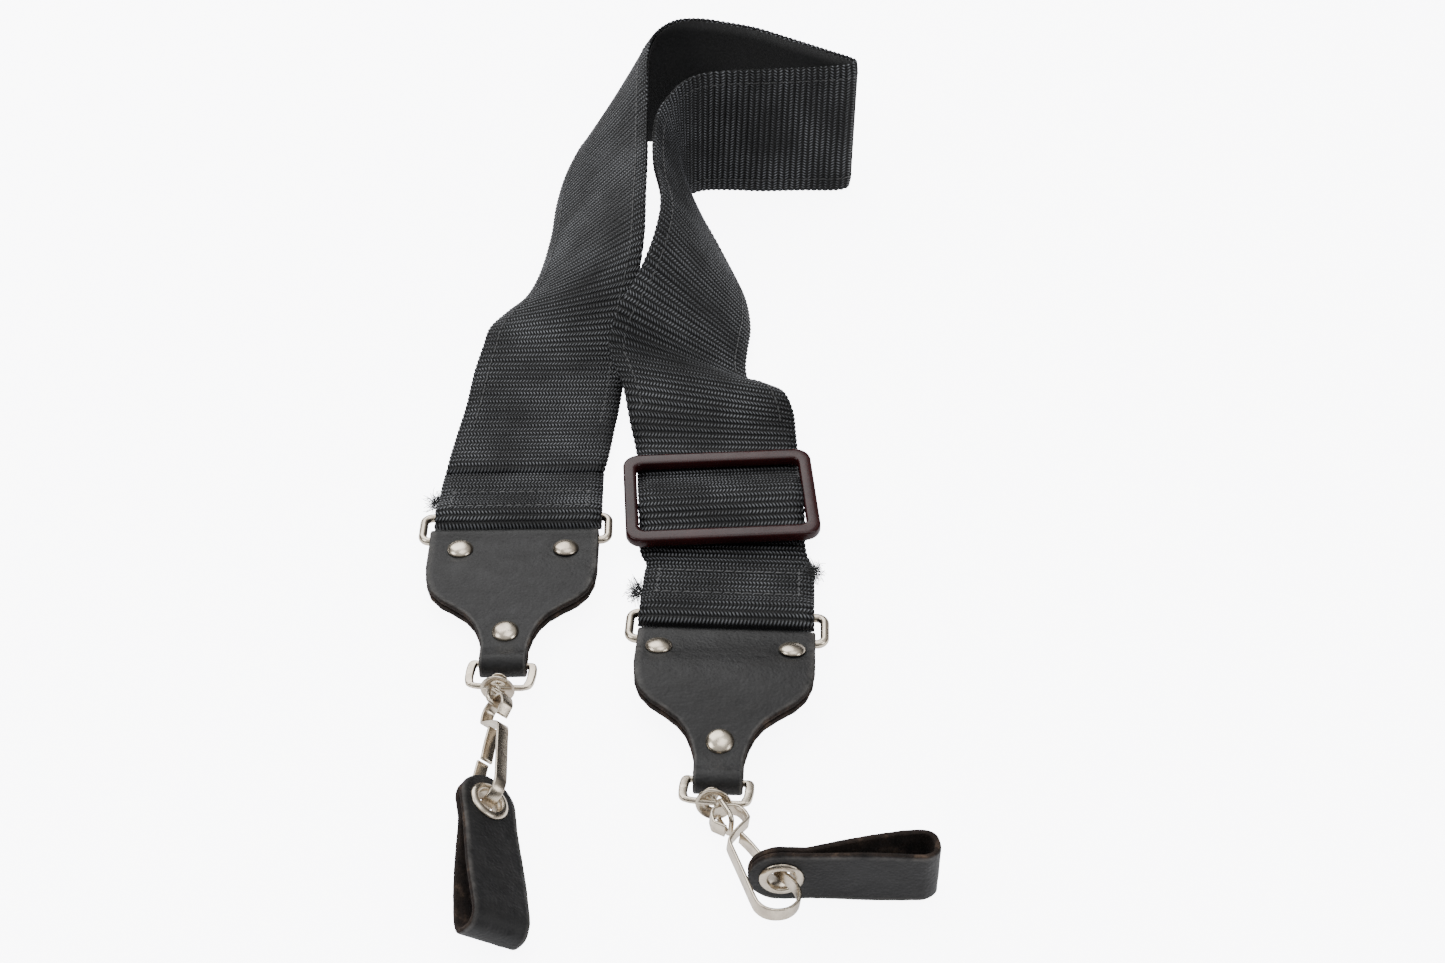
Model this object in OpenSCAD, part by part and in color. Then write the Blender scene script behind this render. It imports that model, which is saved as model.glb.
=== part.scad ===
// Two-hook padded neck strap: a webbing loop lying on its side, with a snap hook at each end.
// Millimetres, +Z up. +X is to the right limb, +Y runs from the hooks to the neck loop.

/* [Webbing] */
// Thickness of the ribbed webbing
web_t = 1.8; // [1.2:0.1:2.2]
// Thickness of the smooth lining behind the webbing
lining_t = 0.5; // [0.3:0.1:0.7]
// Width of each hem where it turns round its ring
hem_w = 49.6; // [46:0.2:49.8]

/* [Rings] */
// Wire diameter of the rectangular rings
ring_wire = 2.5; // [2:0.1:2.6]
// Distance between the centres of a ring's two long bars
ring_gap = 10.5; // [10:0.5:12]
// Width of a ring between the centres of its short bars
ring_w = 55; // [54.6:0.2:56]

/* [Leather ends] */
// Thickness of one leather layer
leather_t = 2; // [1.6:0.1:2.1]
// Diameter of the rivet caps
cap_d = 7.6; // [6:0.2:9]
// Diameter of the rivet shanks
post_d = 3; // [2.4:0.1:3.2]

/* [Hardware] */
// Diameter of the swivel eye's wire
eye_wire = 1.4; // [1.2:0.1:1.5]
// Width of the hook's spring strip
strip_w = 3.6; // [3:0.1:3.8]
// Thickness of the hook's spring strip
strip_t = 0.9; // [0.7:0.1:1]

/* [Leather tabs] */
// Width of the folded tabs
tab_w = 16.5; // [14:0.5:17]
// Inner radius of the tabs' eyelets
eyelet_r = 3.5; // [3.3:0.1:3.7]

/* [Slider] */
// Outer width of the slider frame, across the webbing
slider_w = 58; // [57:0.5:62]
// Outer length of the slider frame, along the webbing
slider_l = 40; // [36:0.5:42]
// Width of the frame's bars
slider_bar = 4.6; // [4:0.1:5]
// Thickness of the frame
slider_t = 3.2; // [2.6:0.1:3.6]

/* [Hidden] */
$fn = 48;
web_col = [0.06, 0.06, 0.065];
lining_col = [0.035, 0.035, 0.04];
leather_col = [0.05, 0.05, 0.055];
thread_col = [0.1, 0.1, 0.1];
nickel = [0.83, 0.8, 0.74];
brown = [0.2, 0.09, 0.08];

// Shift that puts the origin in the middle of the footprint, the two rings' centres and their turns about Z
ring_z = 5;
base = [0.2, 3.1, 0];
left_ring_at = base + [-43.5, -51, ring_z];
left_yaw = 1;
right_ring_at = base + [19.3, -93.3, ring_z];
right_yaw = -2.5;

// ---- the webbing's run, as pairs of edge points: outer or lower edge, inner or upper edge ----
loop_run = [
    [[-67.5, -19, 3.2], [-17.9, -18, 3.2]],
    [[-66.4, -2, 1.8], [-16.5, -1, 1.8]],
    [[-65, 16, 1.6], [-15, 16, 1.8]],
    [[-64, 31, 2], [-14, 30, 3]],
    [[-62.5, 44, 2.6], [-13.5, 41, 7]],
    [[-61, 55, 2.6], [-12.3, 51, 13]],
    [[-56, 65.5, 2], [-10, 61.5, 20.5]],
    [[-50, 76, 1.4], [-8.5, 75, 27.5]],
    [[-46, 92, 2], [-8.5, 94, 33]],
    [[-44, 112, 3], [-8.5, 114, 36]],
    [[-43, 131, 5], [-9, 134, 39]],
    [[-40, 148, 8], [-9.5, 154, 44]],
    [[-36, 160, 9], [-9.5, 171, 46]],
    [[-29.5, 171, 7], [-7, 182.5, 47.5]],
    [[-19, 178.5, 3], [0, 190.5, 48.5]],
    [[-5, 181.5, 1], [9, 193, 48]],
    [[8, 181, 0.8], [20, 191, 47.5]],
    [[20, 176.5, 0.8], [31, 186.5, 47.5]],
    [[34, 168.5, 0.8], [44, 178, 47.5]],
    [[50, 159.5, 0.8], [57, 169, 47.5]],
    [[61.5, 153, 0.8], [65, 163.5, 47.5]],
    [[65.5, 149.8, 0.8], [67, 160.4, 47.5]],
    [[61.5, 146.6, 0.8], [63, 157.2, 47.5]],
    [[50, 146.4, 0.8], [51.5, 155.4, 47.5]],
    [[34, 145.8, 0.8], [36, 153.8, 47.5]],
    [[20, 146.4, 0.8], [22, 153, 47.5]],
    [[10.5, 145.8, 0.8], [11, 150.5, 47.6]],
    [[4.6, 141.6, 0.8], [4.6, 144.5, 48]],
    [[4, 135, 1], [0, 135.5, 48]],
    [[9, 125, 1], [-4, 126.5, 46.8]],
    [[14.5, 112, 0.8], [-5.7, 115, 44.6]],
    [[20.5, 94, 1], [-5.3, 98.5, 41.8]],
    [[26, 74, 1.4], [-2.6, 80.8, 39.4]],
    [[27.5, 57, 2], [-4.6, 65, 35.2]],
    [[26.5, 42, 2.2], [-9.6, 51, 29]],
    [[26, 31, 1.9], [-14.8, 41.5, 23.6]],
    [[28, 23, 2.4], [-18, 35.6, 18.2]],
    [[34, 16.5, 7], [-19, 29.5, 13]],
    [[38, 9.5, 9.5], [-16.8, 22, 11.5]],
    [[40.5, 2.5, 7.5], [-13.8, 12.5, 9.5]],
    [[41.4, -3.5, 4.2], [-11.4, 0, 5.2]],
    [[41.8, -10, 2], [-9.6, -9, 2.2]],
    [[42, -22, 1.3], [-8.2, -20, 1.3]],
    [[42.6, -38, 1.3], [-7.4, -36.5, 1.3]],
    [[43, -57, 1.3], [-6.8, -55.5, 1.3]]];

// Hem section beside a ring: distance up the strap from the ring's long bar, and height
hem_up = [[24.5, 1.5], [20, 2.5], [16, 3.5], [11, 4.3], [7, 5.4], [3.5, 6.9], [1, 7.35]];
hem_down = [[1, 2.65], [3.5, 2.5], [7, 2], [11, 1.7], [16, 1.6], [18, 1.6]];
hem_r = ring_wire / 2 + 0.1 + web_t / 2;
hem_arc = [for (a = [75 : -25 : -75]) [-(hem_r + 2.3) * cos(a), ring_z + hem_r * sin(a)]];

function turn(p, a) = [p[0] * cos(a) - p[1] * sin(a), p[0] * sin(a) + p[1] * cos(a), p[2]];
function hem_pair(at, yaw, d, z, lo, hi) = [
    turn([lo, ring_gap / 2 + d, 0], yaw) + [at[0], at[1], z],
    turn([hi, ring_gap / 2 + d, 0], yaw) + [at[0], at[1], z]];
function hem_run(at, yaw, flip) = [for (q = concat(hem_up, hem_arc, hem_down))
    hem_pair(at, yaw, q[0], q[1], flip * -hem_w / 2, flip * hem_w / 2)];
function back(l) = [for (i = [len(l) - 1 : -1 : 0]) l[i]];

left_hem_at = left_ring_at + [0.6, 0, 0];
right_hem_at = right_ring_at - [0.4, 0, 0];
left_hem = back(hem_run(left_hem_at, left_yaw, 1));
right_hem = hem_run(right_hem_at, right_yaw, -1);

// Catmull-Rom through the pairs, two steps to each
function cr(a, b, c, d, t) = 0.5 * (2 * b + (c - a) * t + (2 * a - 5 * b + 4 * c - d) * t * t
    + (3 * b - 3 * c + d - a) * t * t * t);
function at(l, i) = l[min(max(i, 0), len(l) - 1)];
function smooth(l, n) = concat([for (i = [0 : len(l) - 2], k = [0 : n - 1])
    [for (e = [0, 1]) cr(at(l, i - 1)[e], l[i][e], l[i + 1][e], at(l, i + 2)[e], k / n)]], [at(l, len(l))]);
loop_fine = smooth([for (p = loop_run) [p[0] + base, p[1] + base]], 2);
whole_run = concat(left_hem, loop_fine, right_hem);

function unit(v) = v / norm(v);
function mid(l, i) = (l[i][0] + l[i][1]) / 2;
function along(l, i) = unit(mid(l, min(i + 1, len(l) - 1)) - mid(l, max(i - 1, 0)));
function face(l, i) = unit(cross(l[i][1] - l[i][0], along(l, i)));

// A ribbon from edge pairs, between two offsets from the pairs' own surface, drawn in at the edges
module ribbon(l, lo, hi, inset = 0) {
    n = len(l);
    pts = [for (i = [0 : n - 1]) let (f = face(l, i), w = unit(l[i][1] - l[i][0]) * inset)
        each [l[i][0] + w + f * lo, l[i][0] + w + f * hi, l[i][1] - w + f * hi, l[i][1] - w + f * lo]];
    sides = [for (i = [0 : n - 2], k = [0 : 3]) let (a = i * 4 + k, b = i * 4 + (k + 1) % 4)
        each (k == 3 ? [[a, a + 4, b], [a + 4, b + 4, b]] : [[a, a + 4, b + 4], [a, b + 4, b]])];
    ends = [[0, 1, 2], [0, 2, 3], [n * 4 - 4, n * 4 - 2, n * 4 - 3], [n * 4 - 4, n * 4 - 1, n * 4 - 2]];
    polyhedron(pts, concat(sides, ends));
}

function part_of(l, a, b) = [for (i = [a : b]) l[i]];

module webbing() {
    color(web_col) ribbon(whole_run, -web_t / 2, web_t / 2);
}

// The lining covers the neck and both limbs, behind the webbing
module lining() {
    color(lining_col) ribbon(part_of(loop_fine, 2, 80), -web_t / 2 - 0.16 - lining_t, -web_t / 2 - 0.16, 0.8);
}

// A flat line of stitches lying on the webbing's face, a set distance in from the edges
function inner(l, w0, w1) = [for (p = l) let (u = unit(p[1] - p[0])) [p[0] + u * w0, p[0] + u * w1]];

// Light thread across each hem and the two short runs that close the box
module hem_stitching() {
    color(thread_col) {
        box_line(left_hem_at, left_yaw, 1.5, 1);
        box_line(left_hem_at, left_yaw, 11.2, 1);
        box_line(right_hem_at, right_yaw, 7.8, -1);
        box_line(right_hem_at, right_yaw, 19.4, -1);
        for (s = [[4.2, 4.8], [44.8, 45.4]]) {
            ribbon(inner(part_of(left_hem, 14, 16), s[0], s[1]), web_t / 2 + 0.14, web_t / 2 + 0.42);
            ribbon(inner(part_of(right_hem, 1, 3), s[0], s[1]), web_t / 2 + 0.14, web_t / 2 + 0.42);
        }
    }
}

function hem_z(d) = lookup(d, hem_up);
module box_line(at, yaw, d, flip) {
    l = [for (e = [d, d + 0.6]) hem_pair(at, yaw, e, hem_z(e), -flip * hem_w / 2, flip * hem_w / 2)];
    ribbon(inner(flip > 0 ? flip_pairs(l) : flip_pairs(back(l)), 4.2, hem_w - 4.2), web_t / 2 + 0.14, web_t / 2 + 0.42);
}
function flip_pairs(l) = [for (p = l) [p[1], p[0]]];

// The long seams that hold the lining, one beside each edge
module lining_stitching() {
    color(thread_col) for (s = [[4.6, 5.2], [44.4, 45]])
        ribbon(inner(part_of(loop_fine, 4, 78), s[0], s[1]), web_t / 2 + 0.34, web_t / 2 + 0.64);
}

// Frayed ends of the cut webbing, beside the hems
module thread_tufts() {
    color(thread_col) {
        translate(base + [-71.6, -36, 2.8]) cylinder(h = 1, d = 4, center = true);
        translate(base + [-9.6, -75, 2.8]) cylinder(h = 1, d = 4, center = true);
        translate(base + [47.2, -67, 2.8]) cylinder(h = 1, d = 4, center = true);
    }
}

// ---- placing the pieces of each end ----
module place(at, yaw = 0, pitch = 0, roll = 0)
    translate(at) rotate([0, 0, yaw]) rotate([pitch, 0, 0]) rotate([0, roll, 0]) children();

leather_fold = ring_wire / 2 + 0.1 + leather_t;
neck_bar = 1.8;
neck_fold = neck_bar / 2 + 0.65 + leather_t;
leather_l = 58.35;
neck_y = leather_fold - leather_l + neck_fold;
hub_y = -8.6;
wire_y = -10.9;

module left_leather_at() place(left_ring_at, left_yaw) translate([0, -ring_gap / 2, 0]) children();
module left_loop_at() left_leather_at() translate([0, neck_y, 0]) place([0, 0, 0], -5, -3) children();
module left_eye_at() left_loop_at() translate([0, hub_y, 0]) place([0, 0, 0], 8.1, -14.1, -49.2) children();
module left_hook_at() left_eye_at() translate([0, wire_y, 0]) place([0, 0, 0], -7.9, 6.5, 0.4) children();
module right_leather_at() place(right_ring_at, right_yaw) translate([0, -ring_gap / 2, 0]) children();
module right_loop_at() right_leather_at() translate([0, neck_y, 0]) place([0, 0, 0], -4, -12) children();
module right_eye_at() right_loop_at() translate([0, hub_y, 0]) place([0, 0, 0], 29.5, 0.7, 4) children();
module right_hook_at() right_eye_at() translate([0, wire_y - 0.25, -0.35]) place([0, 0, 0], -4.8, 5.3, 0.5) children();

// ---- rings ----
module bent_ring(w, h, d, r) {
    for (s = [-1, 1]) {
        translate([0, s * h / 2, 0]) rotate([0, 90, 0]) cylinder(h = w - 2 * r, d = d, center = true);
        translate([s * w / 2, 0, 0]) rotate([90, 0, 0]) cylinder(h = h - 2 * r, d = d, center = true);
        for (t = [-1, 1]) translate([s * (w / 2 - r), t * (h / 2 - r), 0])
            rotate([0, 0, (s > 0 ? (t > 0 ? 0 : -90) : (t > 0 ? 90 : 180))])
            rotate_extrude(angle = 90) translate([r, 0]) circle(d = d);
    }
}
module left_ring() { color(nickel) place(left_ring_at, left_yaw) bent_ring(ring_w, ring_gap, ring_wire, 2.4); }
module right_ring() { color(nickel) place(right_ring_at, right_yaw) bent_ring(ring_w, ring_gap, ring_wire, 2.4); }

// ---- leather ends ----
// Side section: both layers as one closed band round the ring's bar and round the loop's bar
module leather_section() {
    t = leather_t;
    difference() {
        union() {
            circle(r = leather_fold);
            translate([neck_y, 0]) circle(r = neck_fold);
            polygon([[0, leather_fold], [-2.6, t + 0.58], [-7, t + 0.3], [neck_y + 6, t + 0.15], [neck_y, neck_fold],
                [neck_y, -neck_fold], [neck_y + 6, -t - 0.15], [-7, -t - 0.3], [-2.6, -t - 0.58], [0, -leather_fold]]);
        }
        circle(r = leather_fold - t);
        translate([neck_y, 0]) circle(r = neck_fold - t);
        polygon([[0, leather_fold - t], [-6.4, 0.14], [neck_y + 6, 0.14], [neck_y, neck_fold - t],
            [neck_y, t - neck_fold], [neck_y + 6, -0.14], [-6.4, -0.14], [0, t - leather_fold]]);
    }
}

module leather_outline() {
    half = [[24.9, 8], [24.9, -14], [24.3, -19.5], [22.7, -24], [19.6, -27.6], [15.6, -30.4], [11.9, -33.4],
        [9.4, -36.8], [7.8, -40.6], [6.7, -45], [6.4, -62]];
    polygon(concat(half, [for (i = [len(half) - 1 : -1 : 0]) [-half[i][0], half[i][1]]]));
}

function rivet_at(w) = [[-w, -6.5], [w, -6.5], [0, -40.6]];
left_w = 15.4;
right_w = 18.4;

module leather_end(w) {
    difference() {
        intersection() {
            rotate([90, 0, 90]) linear_extrude(60, center = true) leather_section();
            linear_extrude(20, center = true) leather_outline();
        }
        for (p = rivet_at(w)) translate([p[0], p[1], 0]) cylinder(h = 20, d = post_d + 0.1, center = true);
    }
}
module left_leather_end() { color(leather_col) left_leather_at() leather_end(left_w); }
module right_leather_end() { color(leather_col) right_leather_at() leather_end(right_w); }

// Domed cap with its shank, and the flat ring it is set into on the back
function rivet_z(i) = i < 2 ? leather_t + 0.62 : leather_t + 0.24;
module rivet_cap(z) {
    rotate_extrude() polygon([[0, -z - 0.55], [post_d / 2, -z - 0.55], [post_d / 2, z], [cap_d / 2, z],
        [cap_d / 2 - 0.1, z + 0.45], [cap_d / 2 - 0.8, z + 0.95], [cap_d / 4, z + 1.35], [0, z + 1.5]]);
}
module rivet_back(z) {
    rotate_extrude() polygon([[post_d / 2 + 0.05, -z], [post_d / 2 + 0.05, -z - 0.5], [2.6, -z - 0.8],
        [3.1, -z - 0.5], [3.2, -z]]);
}
module rivets(w) { for (i = [0 : 2]) translate([rivet_at(w)[i][0], rivet_at(w)[i][1], 0]) children(i < 2 ? 0 : 1); }
module rivet_caps(w) { rivets(w) { rivet_cap(rivet_z(0)); rivet_cap(rivet_z(2)); } }
module rivet_backs(w) { rivets(w) { rivet_back(rivet_z(0)); rivet_back(rivet_z(2)); } }
module left_rivet_caps() { color(nickel) left_leather_at() rivet_caps(left_w); }
module left_rivet_backs() { color(nickel) left_leather_at() rivet_backs(left_w); }
module right_rivet_caps() { color(nickel) right_leather_at() rivet_caps(right_w); }
module right_rivet_backs() { color(nickel) right_leather_at() rivet_backs(right_w); }

// ---- strap loop: round bar in the leather, flat shoulders, dished hub at the bottom ----
module loop_plate() {
    difference() {
        union() {
            polygon([[-7.7, 1.5], [-9.1, 1], [-9.6, -0.6], [-9.6, -6.4], [-9, -8.4], [-7.6, -9.6], [-4, -9.9],
                [4, -9.9], [7.6, -9.6], [9, -8.4], [9.6, -6.4], [9.6, -0.6], [9.1, 1], [7.7, 1.5]]);
        }
        polygon([[-7.3, 3], [-7.3, -6.6], [-6.1, -7.7], [-3, -8], [3, -8], [6.1, -7.7], [7.3, -6.6], [7.3, 3]]);
        translate([-2.7, -11]) square([5.4, 6]);
    }
}
module strap_loop() {
    rotate([0, 90, 0]) cylinder(h = 16, d = neck_bar, center = true);
    linear_extrude(1.7, center = true) loop_plate();
    translate([0, hub_y, 0]) rotate([90, 0, 0]) rotate_extrude()
        polygon([[2.3, -0.7], [3.2, -0.6], [4.75, 1.1], [4.4, 1.6], [2.8, 0.45], [2.3, 0.3]]);
}
module left_strap_loop() { color(nickel) left_loop_at() strap_loop(); }
module right_strap_loop() { color(nickel) right_loop_at() strap_loop(); }

// ---- swivel eye: headed stem through the hub, and a long wire ring below it ----
module swivel_eye() {
    translate([0, -2.9, 0]) rotate([-90, 0, 0]) cylinder(h = 5.8, d = 1.5);
    translate([0, 2.5, 0]) rotate([-90, 0, 0]) cylinder(h = 0.8, d1 = 5.2, d2 = 4);
    translate([0, (wire_y - 2.6) / 2, 0]) rotate([0, 90, 0])
        bent_ring(6, -wire_y - 2.6, eye_wire, 2);
}
module left_swivel_eye() { color(nickel) left_eye_at() swivel_eye(); }
module right_swivel_eye() { color(nickel) right_eye_at() swivel_eye(); }

// ---- snap hook: one bent spring strip; its free leg is the gate ----
hook_path = [[-0.8, 8.6], [-2.2, 7.7], [-4.4, 5.6], [-4.6, 4.9], [-4.3, 2.6], [-3.4, 0.9], [-1.8, 0.1], [0, 0],
    [1.8, 0.1], [3.4, 0.9], [4.3, 2.6], [4.6, 4.8], [4.3, 5.6], [1.6, 7.8], [-0.9, 10], [-2.5, 11.8], [-3, 13.4],
    [-3, 32.8], [-2.6, 34.8], [-1.6, 36.4], [0, 37.4], [2, 37.8], [4, 37.6], [6, 36.6], [7.6, 35], [8.6, 32.8],
    [8.7, 30.4], [8.1, 28.2], [6.9, 25.2], [5.2, 20]];
gate_path = [[0.9, 10.5], [2.3, 14.6], [3.7, 20.4]];

function seg_n(l, i) = let (a = at(l, i - 1), b = at(l, i + 1), d = unit(b - a)) [d[1], -d[0]];
module strip_path(l, t) {
    polygon(concat([for (i = [0 : len(l) - 1]) l[i] + seg_n(l, i) * t / 2],
        [for (i = [len(l) - 1 : -1 : 0]) l[i] - seg_n(l, i) * t / 2]));
}
module strip(l, m, p, q) {
    linear_extrude(strip_w, center = true) scale([m, -1]) translate([-p, -q]) strip_path(l, strip_t);
}
left_hold = [0, 1.6];
right_hold = [-0.4, 7];
module left_hook() { color(nickel) left_hook_at() strip(part_of(hook_path, 1, 29), -1, left_hold[0], left_hold[1]); }
module right_hook() { color(nickel) right_hook_at() strip(part_of(hook_path, 1, 29), 1, right_hold[0], right_hold[1]); }
module left_gate() { color(nickel) left_hook_at() strip(gate_path, -1, left_hold[0], left_hold[1]); }
module right_gate() { color(nickel) right_hook_at() strip(gate_path, 1, right_hold[0], right_hold[1]); }

// ---- leather tabs: a strip folded back on itself, open at the fold, with an eyelet through both layers ----
tab_l = 39;
tab_t = 1.7;
left_tab_at = base + [-41.8, -162.9, 10.7];
right_tab_at = base + [32.4, -183, 8.9];
module left_tab_place() place(left_tab_at, 10, 2, 38.5) children();
module right_tab_place() place(right_tab_at, 90, 0, -90) children();

module tab_section() {
    t = tab_t;
    difference() {
        polygon([[9, t], [-6, t], [-20, t + 0.2], [-tab_l + 6, t + 0.6], [-tab_l + 2.6, t + 0.2],
            [-tab_l + 0.6, t - 1.4], [-tab_l, -1.2], [-tab_l + 0.2, -t - 2.4], [-tab_l + 1.4, -t - 4.6],
            [-tab_l + 4, -t - 5.6], [-tab_l + 8, -t - 5.3], [-22, -t - 3.6], [-12, -t - 1.5], [-6.4, -t], [9, -t]]);
        polygon([[9, 0.05], [-8, 0.05], [-20, 0.3], [-tab_l + 6, 0.6], [-tab_l + 3.8, 0.3],
            [-tab_l + 2.2, -0.6], [-tab_l + 1.8, -1.8], [-tab_l + 2, -t - 2.2], [-tab_l + 2.8, -t - 3.4],
            [-tab_l + 4.4, -t - 3.8], [-tab_l + 8, -t - 3.5], [-22, -3.5], [-12, -1.4], [-8, -0.5], [-6, -0.05], [9, -0.05]]);
    }
}
module tab_outline() {
    circle(d = tab_w);
    translate([-tab_w / 2, -tab_l - 2]) square([tab_w, tab_l + 2]);
}
module tab() {
    difference() {
        intersection() {
            rotate([90, 0, 90]) linear_extrude(40, center = true) tab_section();
            linear_extrude(30, center = true) tab_outline();
        }
        cylinder(h = 20, r = eyelet_r + 0.55, center = true);
    }
}
module eyelet() {
    rotate_extrude() polygon([[eyelet_r, -tab_t - 0.1], [eyelet_r, tab_t + 0.5], [eyelet_r + 0.5, tab_t + 0.85],
        [eyelet_r + 1.6, tab_t + 0.6], [eyelet_r + 2.2, tab_t + 0.05], [eyelet_r + 0.5, tab_t + 0.05],
        [eyelet_r + 0.5, -tab_t - 0.1]]);
}
module eyelet_washer() {
    rotate_extrude() polygon([[eyelet_r, -tab_t - 0.15], [eyelet_r + 0.5, -tab_t - 0.7], [eyelet_r + 1.8, -tab_t - 0.5],
        [eyelet_r + 2.1, -tab_t - 0.05], [eyelet_r + 0.6, -tab_t - 0.05], [eyelet_r + 0.6, -tab_t - 0.15]]);
}
module left_tab() { color(leather_col) left_tab_place() tab(); }
module left_eyelet() { color(nickel) left_tab_place() eyelet(); }
module left_eyelet_washer() { color(nickel) left_tab_place() eyelet_washer(); }
module right_tab() { color(leather_col) right_tab_place() tab(); }
module right_eyelet() { color(nickel) right_tab_place() eyelet(); }
module right_eyelet_washer() { color(nickel) right_tab_place() eyelet_washer(); }

// ---- slider ----
slider_at = base + [17.3, -37.6, 0];
slider_yaw = 3.7;
side_bar = 4;
module slider_frame() {
    color(brown) place(slider_at, slider_yaw) {
        translate([0, 0, 4.6]) linear_extrude(slider_t) difference() {
            rounded(slider_w, slider_l, 5);
            rounded(slider_w - 2 * side_bar, slider_l - 2 * slider_bar, 2.5);
        }
        translate([0, 0, 3.6]) rotate([0, 90, 0]) cylinder(h = slider_w - 4, d = 2, center = true);
        for (s = [-1, 1]) translate([s * (slider_w - side_bar) / 2 - 1, -1.6, 3]) cube([2, 3.2, 2]);
    }
}
module rounded(w, l, r) {
    polygon([for (q = [0 : 3], a = [0 : 15 : 90]) let (c = q * 90 + a, sx = (q == 0 || q == 3) ? 1 : -1,
        sy = q < 2 ? 1 : -1) [sx * (w / 2 - r) + r * cos(c), sy * (l / 2 - r) + r * sin(c)]]);
}

// The short arched stretch of webbing that passes over the slider's centre bar
arch = [[18, 3.35], [14, 3.5], [10, 4.5], [6, 6.1], [3, 7.1], [0, 7.4], [-3, 7.1], [-6, 6.1], [-10, 4.5],
    [-14, 3.5], [-18, 3.35]];
module slider_bar_cover() {
    color(web_col) place(slider_at, slider_yaw)
        rotate([90, 0, 90]) linear_extrude(49.6, center = true) strip_path(arch, 1.6);
}

webbing();
lining();
hem_stitching();
lining_stitching();
thread_tufts();
slider_frame();
slider_bar_cover();
left_ring();
left_leather_end();
left_rivet_caps();
left_rivet_backs();
left_strap_loop();
left_swivel_eye();
left_hook();
left_gate();
left_tab();
left_eyelet();
left_eyelet_washer();
right_ring();
right_leather_end();
right_rivet_caps();
right_rivet_backs();
right_strap_loop();
right_swivel_eye();
right_hook();
right_gate();
right_tab();
right_eyelet();
right_eyelet_washer();
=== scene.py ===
import bpy, bmesh, math
from mathutils import Matrix, Vector, noise


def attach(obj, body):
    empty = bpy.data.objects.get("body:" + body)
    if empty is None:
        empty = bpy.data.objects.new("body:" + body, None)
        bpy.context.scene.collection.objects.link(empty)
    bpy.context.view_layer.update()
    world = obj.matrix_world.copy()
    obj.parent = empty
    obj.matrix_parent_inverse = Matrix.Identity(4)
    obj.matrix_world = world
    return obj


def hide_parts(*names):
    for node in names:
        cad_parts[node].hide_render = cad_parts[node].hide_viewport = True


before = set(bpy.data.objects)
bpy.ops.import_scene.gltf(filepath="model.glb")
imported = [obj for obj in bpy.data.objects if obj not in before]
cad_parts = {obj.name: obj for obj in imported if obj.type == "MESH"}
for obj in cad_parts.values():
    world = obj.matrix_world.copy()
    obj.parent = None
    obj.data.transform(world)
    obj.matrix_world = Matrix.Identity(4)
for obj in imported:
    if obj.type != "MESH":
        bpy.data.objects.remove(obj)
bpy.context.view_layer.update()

world = bpy.context.scene.collection

# camera, floor and light
view = {"spot": (0.0182, -0.48795, 0.39274), "tilt": 50, "lens": 49.02}
camera = bpy.data.objects.new("camera", bpy.data.cameras.new("camera"))
world.objects.link(camera)
camera.location = view["spot"]
camera.rotation_euler = (math.radians(view["tilt"]), 0, 0)
camera.data.lens = view["lens"]
camera.data.sensor_width = 36
camera.data.clip_start = 0.01
bpy.context.scene.camera = camera


def hexColour(code):
    parts = [int(code[i:i + 2], 16) / 255 for i in (1, 3, 5)]
    return [c / 12.92 if c <= 0.04045 else ((c + 0.055) / 1.055) ** 2.4 for c in parts] + [1]


def addNode(tree, kind, inputs=None, **settings):
    node = tree.nodes.new(kind)
    for key, value in settings.items():
        setattr(node, key, value)
    for key, value in (inputs or {}).items():
        socket = node.inputs[key]
        if isinstance(value, bpy.types.NodeSocket):
            tree.links.new(value, socket)
        else:
            socket.default_value = value
    return node


def newMaterial(name, shader):
    # a material with one Principled shader; shader holds the values that are the same all over
    material = bpy.data.materials.new(name)
    material.use_nodes = True
    tree = material.node_tree
    surface = next(n for n in tree.nodes if n.type == "BSDF_PRINCIPLED")
    for key, value in shader.items():
        surface.inputs[key].default_value = value
    return material, tree, surface


def ramp(tree, factor, stops):
    node = addNode(tree, "ShaderNodeValToRGB", {0: factor})
    bar = node.color_ramp
    while len(bar.elements) < len(stops):
        bar.elements.new(0.5)
    for element, (place, code) in zip(bar.elements, stops):
        element.position = place
        element.color = hexColour(code)
    return node.outputs["Color"]


def mixColour(tree, factor, first, second):
    node = addNode(tree, "ShaderNodeMix", {0: factor, 6: first, 7: second}, data_type="RGBA")
    return node.outputs[2]


def calc(tree, operation, first, second=0.0, third=0.0):
    node = addNode(tree, "ShaderNodeMath", {0: first, 1: second, 2: third}, operation=operation)
    return node.outputs[0]


stageSettings = {"floor": "#f4f4f6", "glow": 8.0, "spill": 0.55, "skyTop": "#ffffff", "skyLow": "#1c1b1a",
                 "skyFade": (0.3, 0.78), "skyStrength": 0.8}
floorMesh = bpy.data.meshes.new("floor")
floorMesh.from_pydata([(x, y, -0.0003) for x, y in ((-3, -2), (3, -2), (3, 4), (-3, 4))], [], [(0, 1, 2, 3)])
floor = bpy.data.objects.new("floor", floorMesh)
world.objects.link(floor)
floorPaint, floorTree, floorSurface = newMaterial("paperFloor", {
    "Base Color": hexColour(stageSettings["floor"]), "Roughness": 0.9, "Specular IOR Level": 0.1,
    "Emission Color": hexColour("#fbfbff")})
floorRay = addNode(floorTree, "ShaderNodeLightPath")
floorGlow = calc(floorTree, "MULTIPLY_ADD", floorRay.outputs["Is Camera Ray"],
                 stageSettings["glow"] - stageSettings["spill"], stageSettings["spill"])
floorTree.links.new(floorGlow, floorSurface.inputs["Emission Strength"])
floorMesh.materials.append(floorPaint)

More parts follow.
